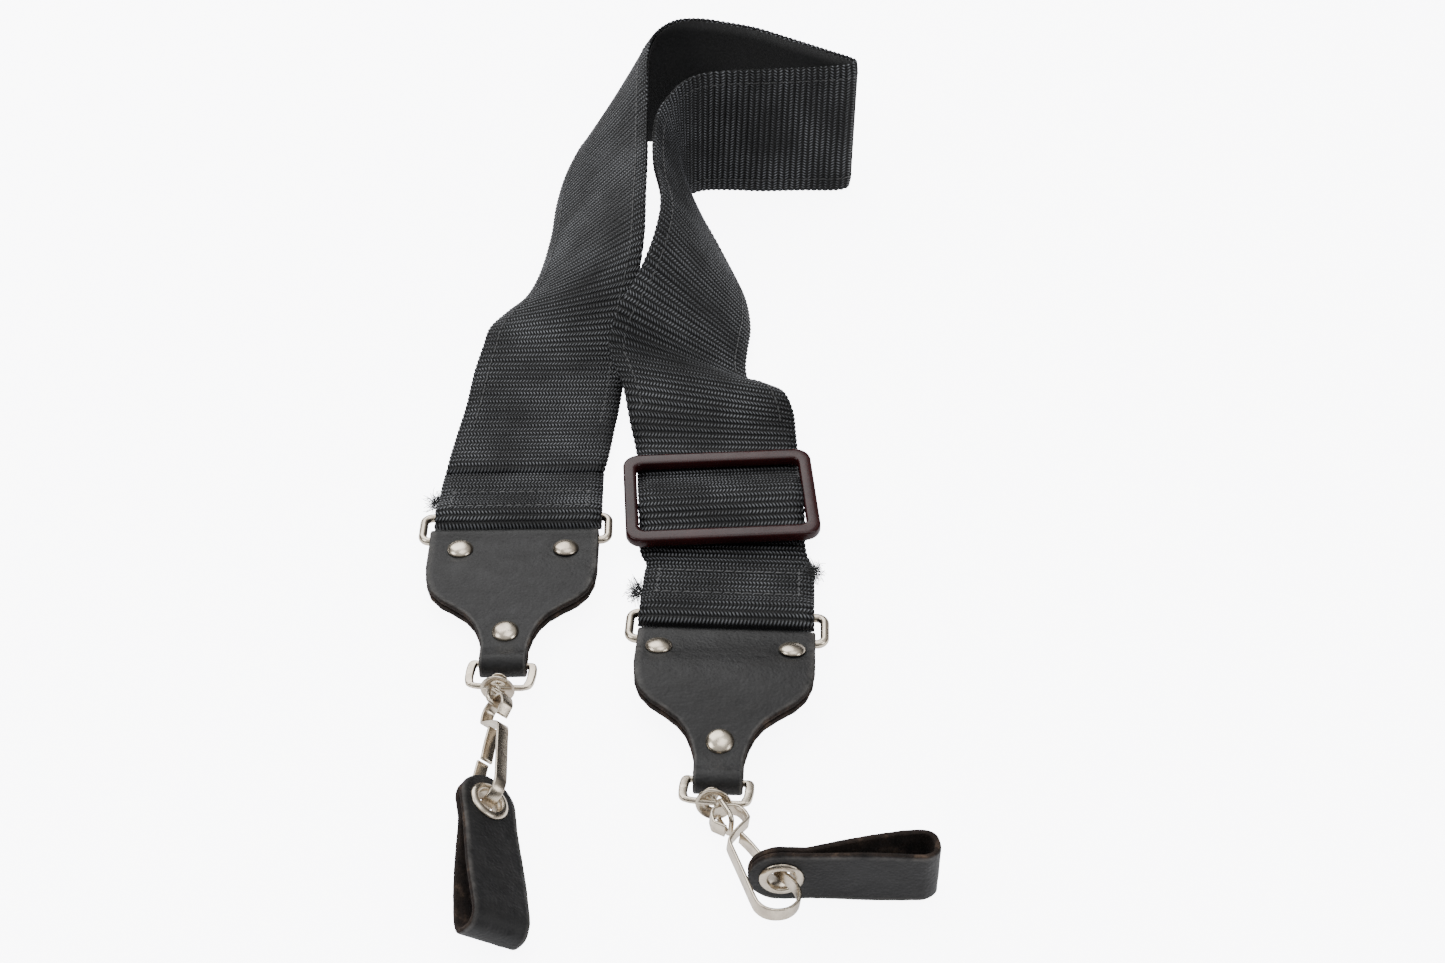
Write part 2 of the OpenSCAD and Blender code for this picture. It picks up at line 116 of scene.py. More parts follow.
sky = bpy.data.worlds.new("studio")
bpy.context.scene.world = sky
sky.use_nodes = True
skyShader = next(n for n in sky.node_tree.nodes if n.type == "BACKGROUND")
skySpot = addNode(sky.node_tree, "ShaderNodeTexCoord")
skyParts = addNode(sky.node_tree, "ShaderNodeSeparateXYZ", {0: skySpot.outputs["Generated"]})
skyFade = ramp(sky.node_tree, skyParts.outputs[2], tuple(zip(
    stageSettings["skyFade"], (stageSettings["skyLow"], stageSettings["skyTop"]))))
sky.node_tree.links.new(skyFade, skyShader.inputs["Color"])
skyShader.inputs["Strength"].default_value = stageSettings["skyStrength"]

for name, spot, aim, size, power in (("softBoxBack", (-0.35, 0.75, 0.9), (0, 0, 0), 1.1, 15),
                                     ("softBoxLeft", (-0.9, -0.3, 0.8), (0, -0.05, 0), 0.5, 5),
                                     ("softBoxTop", (0.25, -0.1, 1.3), (0, 0, 0), 0.8, 6),
                                     ("softBoxRight", (0.9, -0.5, 0.5), (0, -0.1, 0), 0.4, 3)):
    lamp = bpy.data.objects.new(name, bpy.data.lights.new(name, "AREA"))
    world.objects.link(lamp)
    lamp.location = spot
    lamp.rotation_euler = (Vector(aim) - Vector(spot)).to_track_quat("-Z", "Y").to_euler()
    lamp.data.size = size
    lamp.data.energy = power
print("camera, floor and lights are set")

# shared mesh code, in millimetres
base = Vector((0.2, 3.1, 0))


def place(at, yaw=0, pitch=0, roll=0):
    turn = Matrix.Rotation(math.radians(yaw), 4, "Z") @ Matrix.Rotation(math.radians(pitch), 4, "X")
    return Matrix.Translation(Vector(at)) @ turn @ Matrix.Rotation(math.radians(roll), 4, "Y")


def addObject(name, mesh):
    mesh.polygons.foreach_set("use_smooth", [True] * len(mesh.polygons))
    thing = bpy.data.objects.new(name, mesh)
    world.objects.link(thing)
    return thing


def newPiece(name, points, faces, where, marks=None):
    # marks: values for each point, kept as attributes that the materials read
    mesh = bpy.data.meshes.new(name)
    mesh.from_pydata([(where @ Vector(p)) / 1000 for p in points], [], faces)
    for key, values in (marks or {}).items():
        layer = mesh.attributes.new(key, "FLOAT", "POINT")
        layer.data.foreach_set("value", values)
    shape = bmesh.new()
    shape.from_mesh(mesh)
    bmesh.ops.remove_doubles(shape, verts=shape.verts, dist=2e-6)
    bmesh.ops.recalc_face_normals(shape, faces=shape.faces)
    shape.to_mesh(mesh)
    shape.free()
    return addObject(name, mesh)


def joinPieces(name, pieces):
    shape = bmesh.new()
    for piece in pieces:
        shape.from_mesh(piece.data)
        old = piece.data
        bpy.data.objects.remove(piece)
        bpy.data.meshes.remove(old)
    mesh = bpy.data.meshes.new(name)
    shape.to_mesh(mesh)
    shape.free()
    return addObject(name, mesh)


def finishPiece(piece, material, body, slot, *nodes):
    piece.data.materials.clear()
    piece.data.materials.append(material)
    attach(piece, body)
    if nodes:
        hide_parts(*nodes)


def gridFaces(rows, count, closed=False, caps=True):
    faces = []
    for i in range(rows if closed else rows - 1):
        a, b = i * count, (i + 1) % rows * count
        faces += [(a + k, a + (k + 1) % count, b + (k + 1) % count, b + k) for k in range(count)]
    if caps and not closed:
        faces += [tuple(range(count))[::-1], tuple(range((rows - 1) * count, rows * count))]
    return faces


def smoothRun(points, steps, closed=False):
    # Catmull-Rom through points of any dimension
    count, out = len(points), []
    pick = (lambda i: points[i % count]) if closed else (lambda i: points[min(max(i, 0), count - 1)])
    for i in range(count if closed else count - 1):
        for k in range(steps):
            t = k / steps
            out.append(tuple(
                0.5 * (2 * b + (c - a) * t + (2 * a - 5 * b + 4 * c - d) * t * t
                       + (3 * b - 3 * c + d - a) * t ** 3)
                for a, b, c, d in zip(pick(i - 1), pick(i), pick(i + 1), pick(i + 2))))
    return out if closed else out + [tuple(points[-1])]


def roundedBox(halfN, halfZ, radius, steps=4):
    out = []
    for sn, sz, start in ((1, 1, 0), (-1, 1, 90), (-1, -1, 180), (1, -1, 270)):
        for k in range(steps + 1):
            angle = math.radians(start + 90 * k / steps)
            out.append((sn * (halfN - radius) + radius * math.cos(angle),
                        sz * (halfZ - radius) + radius * math.sin(angle)))
    return out


def roundedPath(width, length, radius, steps=8, centre=(0, 0)):
    return [(centre[0] + x, centre[1] + y) for x, y in roundedBox(width / 2, length / 2, radius, steps)]


def circle(radius, steps=14):
    return [(radius * math.cos(2 * math.pi * k / steps), radius * math.sin(2 * math.pi * k / steps))
            for k in range(steps)]


def evenPath(path, step, closed=False):
    path = [Vector(p) for p in path] + ([Vector(path[0])] if closed else [])
    lengths = [0]
    for a, b in zip(path, path[1:]):
        lengths.append(lengths[-1] + (b - a).length)
    count = max(2, round(lengths[-1] / step))
    out, i = [], 0
    for k in range(count if closed else count + 1):
        s = lengths[-1] * k / count
        while i < len(path) - 2 and lengths[i + 1] < s:
            i += 1
        span = lengths[i + 1] - lengths[i]
        out.append(tuple(path[i].lerp(path[i + 1], (s - lengths[i]) / span if span else 0)))
    return out


def sweepFlat(name, path, section, where, closed=False):
    # carries a section of (normal, z) points along a path in the local XY plane
    count, points = len(path), []
    for i, here in enumerate(path):
        a = path[(i - 1) % count] if closed else path[max(i - 1, 0)]
        b = path[(i + 1) % count] if closed else path[min(i + 1, count - 1)]
        tangent = (Vector(b[:2]) - Vector(a[:2])).normalized()
        ring = section(i / (count if closed else count - 1)) if callable(section) else section
        points += [(here[0] + tangent.y * n, here[1] - tangent.x * n, z) for n, z in ring]
    return newPiece(name, points, gridFaces(count, len(ring), closed), where)


def lathe(name, profile, where, steps=40, closed=False):
    # turns (radius, height) points about the local Z axis
    points = []
    for k in range(steps):
        angle = 2 * math.pi * k / steps
        points += [(r * math.cos(angle), r * math.sin(angle), h) for r, h in profile]
    count, faces = len(profile), []
    for k in range(steps):
        a, b = k * count, (k + 1) % steps * count
        faces += [(a + j, b + j, b + (j + 1) % count, a + (j + 1) % count)
                  for j in range(count if closed else count - 1)]
    return newPiece(name, points, faces, where)


def growNodes(name, guide, tree, values):
    # runs a node tree on a guide mesh and keeps the result as a plain mesh
    modifier = guide.modifiers.new("grow", "NODES")
    modifier.node_group = tree
    for item in tree.interface.items_tree:
        if item.item_type == "SOCKET" and item.in_out == "INPUT" and item.name in values:
            modifier[item.identifier] = values[item.name]
    guide.update_tag()
    bpy.context.view_layer.update()
    graph = bpy.context.evaluated_depsgraph_get()
    mesh = bpy.data.meshes.new_from_object(guide.evaluated_get(graph), depsgraph=graph)
    mesh.name = name
    guide.modifiers.remove(modifier)
    bpy.data.objects.remove(guide)
    return addObject(name, mesh)


def newTree(name, inputs):
    tree = bpy.data.node_groups.new(name, "GeometryNodeTree")
    tree.interface.new_socket("Geometry", in_out="INPUT", socket_type="NodeSocketGeometry")
    for label, kind, value in inputs:
        socket = tree.interface.new_socket(label, in_out="INPUT", socket_type=kind)
        if value is not None:
            socket.default_value = value
    tree.interface.new_socket("Geometry", in_out="OUTPUT", socket_type="NodeSocketGeometry")
    return tree, addNode(tree, "NodeGroupInput"), addNode(tree, "NodeGroupOutput")


def endTree(tree, given, last, output):
    real = addNode(tree, "GeometryNodeRealizeInstances", {0: last})
    paint = addNode(tree, "GeometryNodeSetMaterial", {
        "Geometry": real.outputs[0], "Material": given.outputs["material"]})
    smooth = addNode(tree, "GeometryNodeSetShadeSmooth", {0: paint.outputs[0]})
    tree.links.new(smooth.outputs[0], output.inputs[0])


def stitchTree():
    # short capsules of thread laid end to end along a guide line
    tree, given, output = newTree("sewnLine", (
        ("pitch", "NodeSocketFloat", 0.003), ("length", "NodeSocketFloat", 0.0023),
        ("thread", "NodeSocketFloat", 0.0003), ("seed", "NodeSocketInt", 1),
        ("material", "NodeSocketMaterial", None)))
    line = addNode(tree, "GeometryNodeMeshToCurve", {0: given.outputs[0]})
    spaced = addNode(tree, "GeometryNodeResampleCurve", {
        "Curve": line.outputs[0], "Length": given.outputs["pitch"]}, mode="LENGTH")
    bead = addNode(tree, "GeometryNodeMeshUVSphere", {"Segments": 8, "Rings": 6, "Radius": 1.0})
    vary = addNode(tree, "FunctionNodeRandomValue", {
        "Seed": given.outputs["seed"], 2: 0.86, 3: 1.06}, data_type="FLOAT")
    halfLength = calc(tree, "MULTIPLY", calc(tree, "MULTIPLY", given.outputs["length"], 0.5), vary.outputs[1])
    size = addNode(tree, "ShaderNodeCombineXYZ", {
        0: given.outputs["thread"], 1: given.outputs["thread"], 2: halfLength})
    tangent = addNode(tree, "GeometryNodeInputTangent")
    wobble = addNode(tree, "FunctionNodeRandomValue", {
        "Seed": given.outputs["seed"], 0: (-0.06,) * 3, 1: (0.06,) * 3}, data_type="FLOAT_VECTOR")
    lean = addNode(tree, "ShaderNodeVectorMath", {0: tangent.outputs[0], 1: wobble.outputs[0]})
    aim = addNode(tree, "FunctionNodeAlignRotationToVector", {"Vector": lean.outputs[0]}, axis="Z")
    rows = addNode(tree, "GeometryNodeInstanceOnPoints", {
        "Points": spaced.outputs[0], "Instance": bead.outputs[0], "Rotation": aim.outputs[0],
        "Scale": size.outputs[0]})
    endTree(tree, given, rows.outputs[0], output)
    return tree


def fibreTree():
    # loose bent fibres standing out of a guide surface
    tree, given, output = newTree("looseFibres", (
        ("density", "NodeSocketFloat", 400000.0), ("length", "NodeSocketFloat", 0.002),
        ("fibre", "NodeSocketFloat", 0.00004), ("bend", "NodeSocketFloat", 0.7),
        ("seed", "NodeSocketInt", 3), ("material", "NodeSocketMaterial", None)))
    roots = addNode(tree, "GeometryNodeDistributePointsOnFaces", {
        "Mesh": given.outputs[0], "Density": given.outputs["density"], "Seed": given.outputs["seed"]})
    strand = addNode(tree, "GeometryNodeCurvePrimitiveBezierSegment", {
        "Resolution": 4, "Start": (0, 0, 0), "Start Handle": (0, 0, 0.4), "End Handle": (0.25, 0, 0.75),
        "End": (0.6, 0.1, 0.9)})
    ring = addNode(tree, "GeometryNodeCurvePrimitiveCircle", {"Resolution": 4, "Radius": 1.0})
    thin = calc(tree, "DIVIDE", given.outputs["fibre"], given.outputs["length"])
    slim = addNode(tree, "GeometryNodeTransform", {"Geometry": ring.outputs[0]})
    thinXYZ = addNode(tree, "ShaderNodeCombineXYZ", {0: thin, 1: thin, 2: thin})
    tree.links.new(thinXYZ.outputs[0], slim.inputs["Scale"])
    hair = addNode(tree, "GeometryNodeCurveToMesh", {
        "Curve": strand.outputs[0], "Profile Curve": slim.outputs[0]})
    spin = addNode(tree, "FunctionNodeRandomValue", {
        "Seed": given.outputs["seed"], 0: (-1,) * 3, 1: (1,) * 3}, data_type="FLOAT_VECTOR")
    lean = addNode(tree, "ShaderNodeVectorMath", {0: spin.outputs[0], "Scale": given.outputs["bend"]},
                   operation="SCALE")
    normal = addNode(tree, "GeometryNodeInputNormal")
    way = addNode(tree, "ShaderNodeVectorMath", {0: normal.outputs[0], 1: lean.outputs[0]})
    aim = addNode(tree, "FunctionNodeAlignRotationToVector", {"Vector": way.outputs[0]}, axis="Z")
    twist = addNode(tree, "FunctionNodeRandomValue", {"Seed": 11, 2: 0.0, 3: 6.28}, data_type="FLOAT")
    roll = addNode(tree, "FunctionNodeAxisAngleToRotation", {"Axis": (0, 0, 1), "Angle": twist.outputs[1]})
    both = addNode(tree, "FunctionNodeRotateRotation", {0: aim.outputs[0], 1: roll.outputs[0]},
                   rotation_space="LOCAL")
    vary = addNode(tree, "FunctionNodeRandomValue", {"Seed": 5, 2: 0.35, 3: 1.0}, data_type="FLOAT")
    long = calc(tree, "MULTIPLY", vary.outputs[1], given.outputs["length"])
    tufts = addNode(tree, "GeometryNodeInstanceOnPoints", {
        "Points": roots.outputs[0], "Instance": hair.outputs[0], "Rotation": both.outputs[0], "Scale": long})
    endTree(tree, given, tufts.outputs[0], output)
    return tree


def rivetTree():
    # one rivet head on each guide point
    tree, given, output = newTree("rivetRow", (("head", "NodeSocketObject", None),
                                               ("material", "NodeSocketMaterial", None)))
    head = addNode(tree, "GeometryNodeObjectInfo", {"Object": given.outputs["head"]})
    spots = addNode(tree, "GeometryNodeMeshToPoints", {0: given.outputs[0]})
    turn = addNode(tree, "FunctionNodeRandomValue", {
        "Seed": 2, 0: (-0.05, -0.05, 0), 1: (0.05, 0.05, 6)}, data_type="FLOAT_VECTOR")
    row = addNode(tree, "GeometryNodeInstanceOnPoints", {
        "Points": spots.outputs[0], "Instance": head.outputs["Geometry"], "Rotation": turn.outputs[0]})
    endTree(tree, given, row.outputs[0], output)
    return tree


sewnLine, looseFibres, rivetRow = stitchTree(), fibreTree(), rivetTree()


def guideLine(points):
    mesh = bpy.data.meshes.new("guide")
    mesh.from_pydata([Vector(p) / 1000 for p in points], [(i, i + 1) for i in range(len(points) - 1)], [])
    return addObject("guide", mesh)


# materials
# dark is painted shade in the grooves between yarns, tip is a painted highlight on the raised yarn tops
webLook = {"rib": 2.1, "warp": 1.05, "dark": "#010102", "yarn": "#09090a", "tip": "#66686c"}


def webbingMaterial():
    # woven polypropylene webbing: cross ribs, with slanting yarns in a zig-zag; the raised yarn tops get a painted
    # highlight and the grooves painted shade
    material, tree, surface = newMaterial("wovenPolypropylene", {
        "Roughness": 0.52, "Sheen Weight": 0.08, "Sheen Roughness": 0.4, "Specular IOR Level": 0.2})
    surface.inputs["Sheen Tint"].default_value = hexColour("#6d6e72")
    uv = addNode(tree, "ShaderNodeUVMap", uv_map="lay")
    parts = addNode(tree, "ShaderNodeSeparateXYZ", {0: uv.outputs[0]})
    wander = addNode(tree, "ShaderNodeTexNoise", {"Vector": uv.outputs[0], "Scale": 120.0, "Detail": 2.0})
    shift = calc(tree, "MULTIPLY_ADD", wander.outputs[0], 0.5, -0.25)
    across = calc(tree, "MULTIPLY_ADD", parts.outputs[0], 1000 / webLook["warp"], shift)
    along = calc(tree, "MULTIPLY_ADD", parts.outputs[1], 1000 / webLook["rib"],
                 calc(tree, "MULTIPLY", shift, 0.25))
    row = calc(tree, "FLOOR", along)
    inRow = calc(tree, "SUBTRACT", calc(tree, "SUBTRACT", along, row), 0.5)
    way = calc(tree, "MULTIPLY_ADD", calc(tree, "FLOORED_MODULO", row, 2.0), 2.0, -1.0)
    slant = calc(tree, "MULTIPLY_ADD", calc(tree, "MULTIPLY", inRow, way), 0.9, across)
    yarn = calc(tree, "ABSOLUTE", calc(tree, "SUBTRACT", calc(tree, "FRACT", slant), 0.5))
    yarnTop = calc(tree, "SUBTRACT", 1.0, calc(tree, "POWER", calc(tree, "MULTIPLY", yarn, 2.0), 2.0))
    edge = calc(tree, "ABSOLUTE", calc(tree, "MULTIPLY", inRow, 2.0))
    rise = calc(tree, "SUBTRACT", 1.0, calc(tree, "POWER", edge, 2.0))
    height = calc(tree, "MULTIPLY", yarnTop, calc(tree, "MULTIPLY_ADD", rise, 0.7, 0.3))
    # patchy noise varies how strongly the painted highlight and shade show across the strap
    patchy = addNode(tree, "ShaderNodeTexNoise", {"Vector": uv.outputs[0], "Scale": 45.0, "Detail": 3.0})
    level = calc(tree, "MULTIPLY", calc(tree, "POWER", height, 1.6),
                 calc(tree, "MULTIPLY_ADD", patchy.outputs[0], 1.2, 0.25))
    # painted highlight and shade: the colour follows the weave height, light tip grey on the yarn tops and near black
    # in the grooves
    tree.links.new(ramp(tree, level, ((0.05, webLook["dark"]), (0.45, webLook["yarn"]), (1, webLook["tip"]))),
                   surface.inputs["Base Color"])
    fuzz = addNode(tree, "ShaderNodeTexNoise", {"Vector": uv.outputs[0], "Scale": 2600.0, "Detail": 2.0})
    relief = calc(tree, "MULTIPLY_ADD", fuzz.outputs[0], 0.12, height)
    bump = addNode(tree, "ShaderNodeBump", {"Height": relief, "Strength": 0.9, "Distance": 0.00032})
    tree.links.new(bump.outputs[0], surface.inputs["Normal"])
    return material


def liningMaterial():
    # smooth calendered nylon lining: nearly plain black with a soft sheen and a fine plain weave
    material, tree, surface = newMaterial("calenderedNylon", {
        "Roughness": 0.65, "Sheen Weight": 0.04, "Specular IOR Level": 0.3})
    uv = addNode(tree, "ShaderNodeUVMap", uv_map="lay")
    parts = addNode(tree, "ShaderNodeSeparateXYZ", {0: uv.outputs[0]})
    warp = calc(tree, "SINE", calc(tree, "MULTIPLY", parts.outputs[0], 2 * math.pi * 1000 / 0.7))
    weft = calc(tree, "SINE", calc(tree, "MULTIPLY", parts.outputs[1], 2 * math.pi * 1000 / 0.7))
    weave = calc(tree, "MULTIPLY", warp, weft)
    cloud = addNode(tree, "ShaderNodeTexNoise", {"Vector": uv.outputs[0], "Scale": 60.0, "Detail": 4.0})
    shade = ramp(tree, cloud.outputs[0], ((0.3, "#030304"), (0.75, "#0c0c0e")))
    tree.links.new(shade, surface.inputs["Base Color"])
    bump = addNode(tree, "ShaderNodeBump", {"Height": weave, "Strength": 0.5, "Distance": 0.00008})
    tree.links.new(bump.outputs[0], surface.inputs["Normal"])
    return material


def threadMaterial(name, dark, light):
    # bonded polyester sewing thread: two plies that show as a fine twist
    material, tree, surface = newMaterial(name, {"Roughness": 0.5, "Sheen Weight": 0.2})
    spot = addNode(tree, "ShaderNodeTexCoord")
    twist = addNode(tree, "ShaderNodeTexWave", {"Vector": spot.outputs["Object"], "Scale": 900.0, "Distortion": 2.0})
    tree.links.new(ramp(tree, twist.outputs[1], ((0.2, dark), (0.8, light))), surface.inputs["Base Color"])
    return material


def leatherMaterial():
    # chrome-tanned cowhide with a black coat: pebbled satin face, rubbed edges, brown fibrous flesh side
    material, tree, surface = newMaterial("coatedCowhide", {"IOR": 1.5, "Specular IOR Level": 0.22})
    spot = addNode(tree, "ShaderNodeTexCoord").outputs["Object"]
    cut = addNode(tree, "ShaderNodeAttribute", attribute_name="cut").outputs["Fac"]
    rub = addNode(tree, "ShaderNodeAttribute", attribute_name="rub").outputs["Fac"]
    pebble = addNode(tree, "ShaderNodeTexVoronoi", {"Vector": spot, "Scale": 1000 / 0.85, "Randomness": 0.9},
                     feature="SMOOTH_F1")
    crease = addNode(tree, "ShaderNodeTexNoise", {
        "Vector": spot, "Scale": 260.0, "Detail": 6.0, "Roughness": 0.62})
    fine = addNode(tree, "ShaderNodeTexNoise", {"Vector": spot, "Scale": 2400.0, "Detail": 3.0})
    cloud = addNode(tree, "ShaderNodeTexNoise", {"Vector": spot, "Scale": 70.0, "Detail": 4.0, "Roughness": 0.6})
    face = ramp(tree, cloud.outputs[0], ((0.3, "#0e0e0f"), (0.55, "#161617"), (0.8, "#222223")))
    scuffed = calc(tree, "MULTIPLY", rub, calc(tree, "MULTIPLY_ADD", crease.outputs[0], 2.4, -0.7))
    patchy = addNode(tree, "ShaderNodeMix", {0: scuffed, 6: face, 7: hexColour("#4c4a48")}, data_type="RGBA",
                   clamp_factor=True).outputs[2]
    flesh = ramp(tree, crease.outputs[0], ((0.3, "#0d0a09"), (0.55, "#241c18"), (0.85, "#5d4d40")))
    both = mixColour(tree, cut, patchy, flesh)
    tree.links.new(both, surface.inputs["Base Color"])
    matt = calc(tree, "MULTIPLY_ADD", crease.outputs[0], 0.3, 0.34)
    tree.links.new(calc(tree, "MAXIMUM", matt, calc(tree, "MULTIPLY", cut, 0.9)), surface.inputs["Roughness"])
    grain = calc(tree, "MULTIPLY_ADD", pebble.outputs["Distance"], -0.5,
                 calc(tree, "MULTIPLY", crease.outputs[0], 1.1))
    nap = calc(tree, "MULTIPLY", fine.outputs[0], calc(tree, "MULTIPLY_ADD", cut, 1.4, 0.12))
    bump = addNode(tree, "ShaderNodeBump", {"Height": calc(tree, "ADD", grain, nap), "Strength": 0.7,
                                            "Distance": 0.00028})
    tree.links.new(bump.outputs[0], surface.inputs["Normal"])
    return material


def nickelMaterial():
    # bright nickel plate on formed steel: warm grey mirror with tumbled micro dents and finger haze
    material, tree, surface = newMaterial("nickelPlate", {"Metallic": 1.0})
    spot = addNode(tree, "ShaderNodeTexCoord").outputs["Object"]
    haze = addNode(tree, "ShaderNodeTexNoise", {"Vector": spot, "Scale": 160.0, "Detail": 4.0, "Roughness": 0.65})
    tarnish = ramp(tree, haze.outputs[0], ((0.35, "#cfc4b2"), (0.7, "#a3988a")))
    tree.links.new(tarnish, surface.inputs["Base Color"])
    tree.links.new(calc(tree, "MULTIPLY_ADD", haze.outputs[0], 0.22, 0.16), surface.inputs["Roughness"])
    dents = addNode(tree, "ShaderNodeTexNoise", {"Vector": spot, "Scale": 420.0, "Detail": 2.0})
    bump = addNode(tree, "ShaderNodeBump", {"Height": dents.outputs[0], "Strength": 0.1, "Distance": 0.0002})
    tree.links.new(bump.outputs[0], surface.inputs["Normal"])
    return material


def plasticMaterial():
    # moulded dark brown acetal: glossy skin, slight flow streaks and handling haze
    material, tree, surface = newMaterial("mouldedBrownAcetal", {
        "IOR": 1.48, "Specular IOR Level": 0.22, "Coat Weight": 0.04, "Coat Roughness": 0.08,
        "Subsurface Weight": 0.12, "Subsurface Scale": 0.002})
    spot = addNode(tree, "ShaderNodeTexCoord").outputs["Object"]
    flow = addNode(tree, "ShaderNodeTexNoise", {"Vector": spot, "Scale": 55.0, "Detail": 3.0, "Distortion": 0.8})
    tree.links.new(ramp(tree, flow.outputs[0], ((0.3, "#1c0809"), (0.7, "#2c0f10"))), surface.inputs["Base Color"])
    haze = addNode(tree, "ShaderNodeTexNoise", {"Vector": spot, "Scale": 320.0, "Detail": 4.0})
    tree.links.new(calc(tree, "MULTIPLY_ADD", haze.outputs[0], 0.22, 0.12), surface.inputs["Roughness"])
    bump = addNode(tree, "ShaderNodeBump", {"Height": haze.outputs[0], "Strength": 0.1, "Distance": 0.0002})
    tree.links.new(bump.outputs[0], surface.inputs["Normal"])
    return material


webbing, lining = webbingMaterial(), liningMaterial()
sewingThread = threadMaterial("bondedThread", "#08080a", "#17181a")
hemThread = threadMaterial("hemThread", "#141416", "#3a3b3d")
tuftFibre = threadMaterial("frayedYarn", "#08090a", "#26272a")
leather, nickel, brownPlastic = leatherMaterial(), nickelMaterial(), plasticMaterial()
print("materials are made")

# the webbing's run: pairs of edge points, outer or lower edge then inner or upper edge
strapRun = {"thick": 1.8, "ribDepth": 0.3, "hemWidth": 49.6, "rib": 2.1, "rowsPerRib": 5,
            "ringWire": 2.5, "ringGap": 10.5, "ringHeight": 5, "hemReach": 2.3}
loopRun = [
    ((-67.5, -19, 3.2), (-17.9, -18, 3.2)), ((-66.4, -2, 1.8), (-16.5, -1, 1.8)),
    ((-65, 16, 1.6), (-15, 16, 1.8)), ((-64, 31, 2), (-14, 30, 3)),
    ((-62.5, 44, 2.6), (-13.5, 41, 7)), ((-61, 55, 2.6), (-12.3, 51, 13)),
    ((-56, 65.5, 2), (-10, 61.5, 20.5)), ((-50, 76, 1.4), (-8.5, 75, 27.5)),
    ((-46, 92, 2), (-8.5, 94, 33)), ((-44, 112, 3), (-8.5, 114, 36)),
    ((-43, 131, 5), (-9, 134, 39)), ((-40, 148, 8), (-9.5, 154, 44)),
    ((-36, 160, 9), (-9.5, 171, 46)), ((-29.5, 171, 7), (-7, 182.5, 47.5)),
    ((-19, 178.5, 3), (0, 190.5, 48.5)), ((-5, 181.5, 1), (9, 193, 48)),
    ((8, 181, 0.8), (20, 191, 47.5)), ((20, 176.5, 0.8), (31, 186.5, 47.5)),
    ((34, 168.5, 0.8), (44, 178, 47.5)), ((50, 159.5, 0.8), (57, 169, 47.5)),
    ((61.5, 153, 0.8), (65, 163.5, 47.5)), ((65.5, 149.8, 0.8), (67, 160.4, 47.5)),
    ((61.5, 146.6, 0.8), (63, 157.2, 47.5)), ((50, 146.4, 0.8), (51.5, 155.4, 47.5)),
    ((34, 145.8, 0.8), (36, 153.8, 47.5)), ((20, 146.4, 0.8), (22, 153, 47.5)),
    ((10.5, 145.8, 0.8), (11, 150.5, 47.6)), ((4.6, 141.6, 0.8), (4.6, 144.5, 48)),
    ((4, 135, 1), (0, 135.5, 48)), ((9, 125, 1), (-4, 126.5, 46.8)),
    ((14.5, 112, 0.8), (-5.7, 115, 44.6)), ((20.5, 94, 1), (-5.3, 98.5, 41.8)),
    ((26, 74, 1.4), (-2.6, 80.8, 39.4)), ((27.5, 57, 2), (-4.6, 65, 35.2)),
    ((26.5, 42, 2.2), (-9.6, 51, 29)), ((26, 31, 1.9), (-14.8, 41.5, 23.6)),
    ((28, 23, 2.4), (-18, 35.6, 18.2)), ((34, 16.5, 7), (-19, 29.5, 13)),
    ((38, 9.5, 9.5), (-16.8, 22, 11.5)), ((40.5, 2.5, 7.5), (-13.8, 12.5, 9.5)),
    ((41.4, -3.5, 4.2), (-11.4, 0, 5.2)), ((41.8, -10, 2), (-9.6, -9, 2.2)),
    ((42, -22, 1.3), (-8.2, -20, 1.3)), ((42.6, -38, 1.3), (-7.4, -36.5, 1.3)),
    ((43, -57, 1.3), (-6.8, -55.5, 1.3))]
hemUp = [(24.5, 1.5), (20, 2.5), (16, 3.5), (11, 4.3), (7, 5.4), (3.5, 6.9), (1, 7.35)]
hemDown = [(1, 2.65), (3.5, 2.5), (7, 2), (11, 1.7), (16, 1.6), (18, 1.6)]
leftRing = place(base + Vector((-43.5, -51, strapRun["ringHeight"])), 1)
rightRing = place(base + Vector((19.3, -93.3, strapRun["ringHeight"])), -2.5)


def hemRun(ring, shift, flip):
    radius = strapRun["ringWire"] / 2 + 0.1 + strapRun["thick"] / 2
    arc = []
    for degrees in range(75, -76, -25):
        a = math.radians(degrees)
        arc.append((-(radius + strapRun["hemReach"]) * math.cos(a),
                    strapRun["ringHeight"] + radius * math.sin(a)))
    half = flip * strapRun["hemWidth"] / 2
    out = []
    for d, z in hemUp + arc + hemDown:
        ends = [ring @ Vector((side * half + shift, strapRun["ringGap"] / 2 + d, z - strapRun["ringHeight"]))
                for side in (-1, 1)]
        out.append(tuple(ends[0]) + tuple(ends[1]))
    return out


leftHem = hemRun(leftRing, 0.6, 1)[::-1]
rightHem = hemRun(rightRing, -0.4, -1)
loopPairs = [tuple(Vector(a) + base) + tuple(Vector(b) + base) for a, b in loopRun]
wholeRun = smoothRun(leftHem + loopPairs + rightHem, 8)


def spacedFrames(run, step):
    # even rows along the strap: edge A, edge B, the face's normal and the distance along
    ends = [(Vector(p[:3]), Vector(p[3:])) for p in run]
    mids = [(a + b) / 2 for a, b in ends]
    lengths = [0]
    for a, b in zip(mids, mids[1:]):
        lengths.append(lengths[-1] + (b - a).length)
    count = round(lengths[-1] / step)
    rows, i = [], 0
    for k in range(count + 1):
        s = lengths[-1] * k / count
        while i < len(mids) - 2 and lengths[i + 1] < s:
            i += 1
        t = (s - lengths[i]) / max(lengths[i + 1] - lengths[i], 1e-9)
        rows.append([ends[i][0].lerp(ends[i + 1][0], t), ends[i][1].lerp(ends[i + 1][1], t), None, s])
    for k, row in enumerate(rows):
        a, b = rows[max(k - 1, 0)], rows[min(k + 1, count)]
        along = (b[0] + b[1] - a[0] - a[1]).normalized()
        row[2] = (row[1] - row[0]).cross(along).normalized()
    return rows


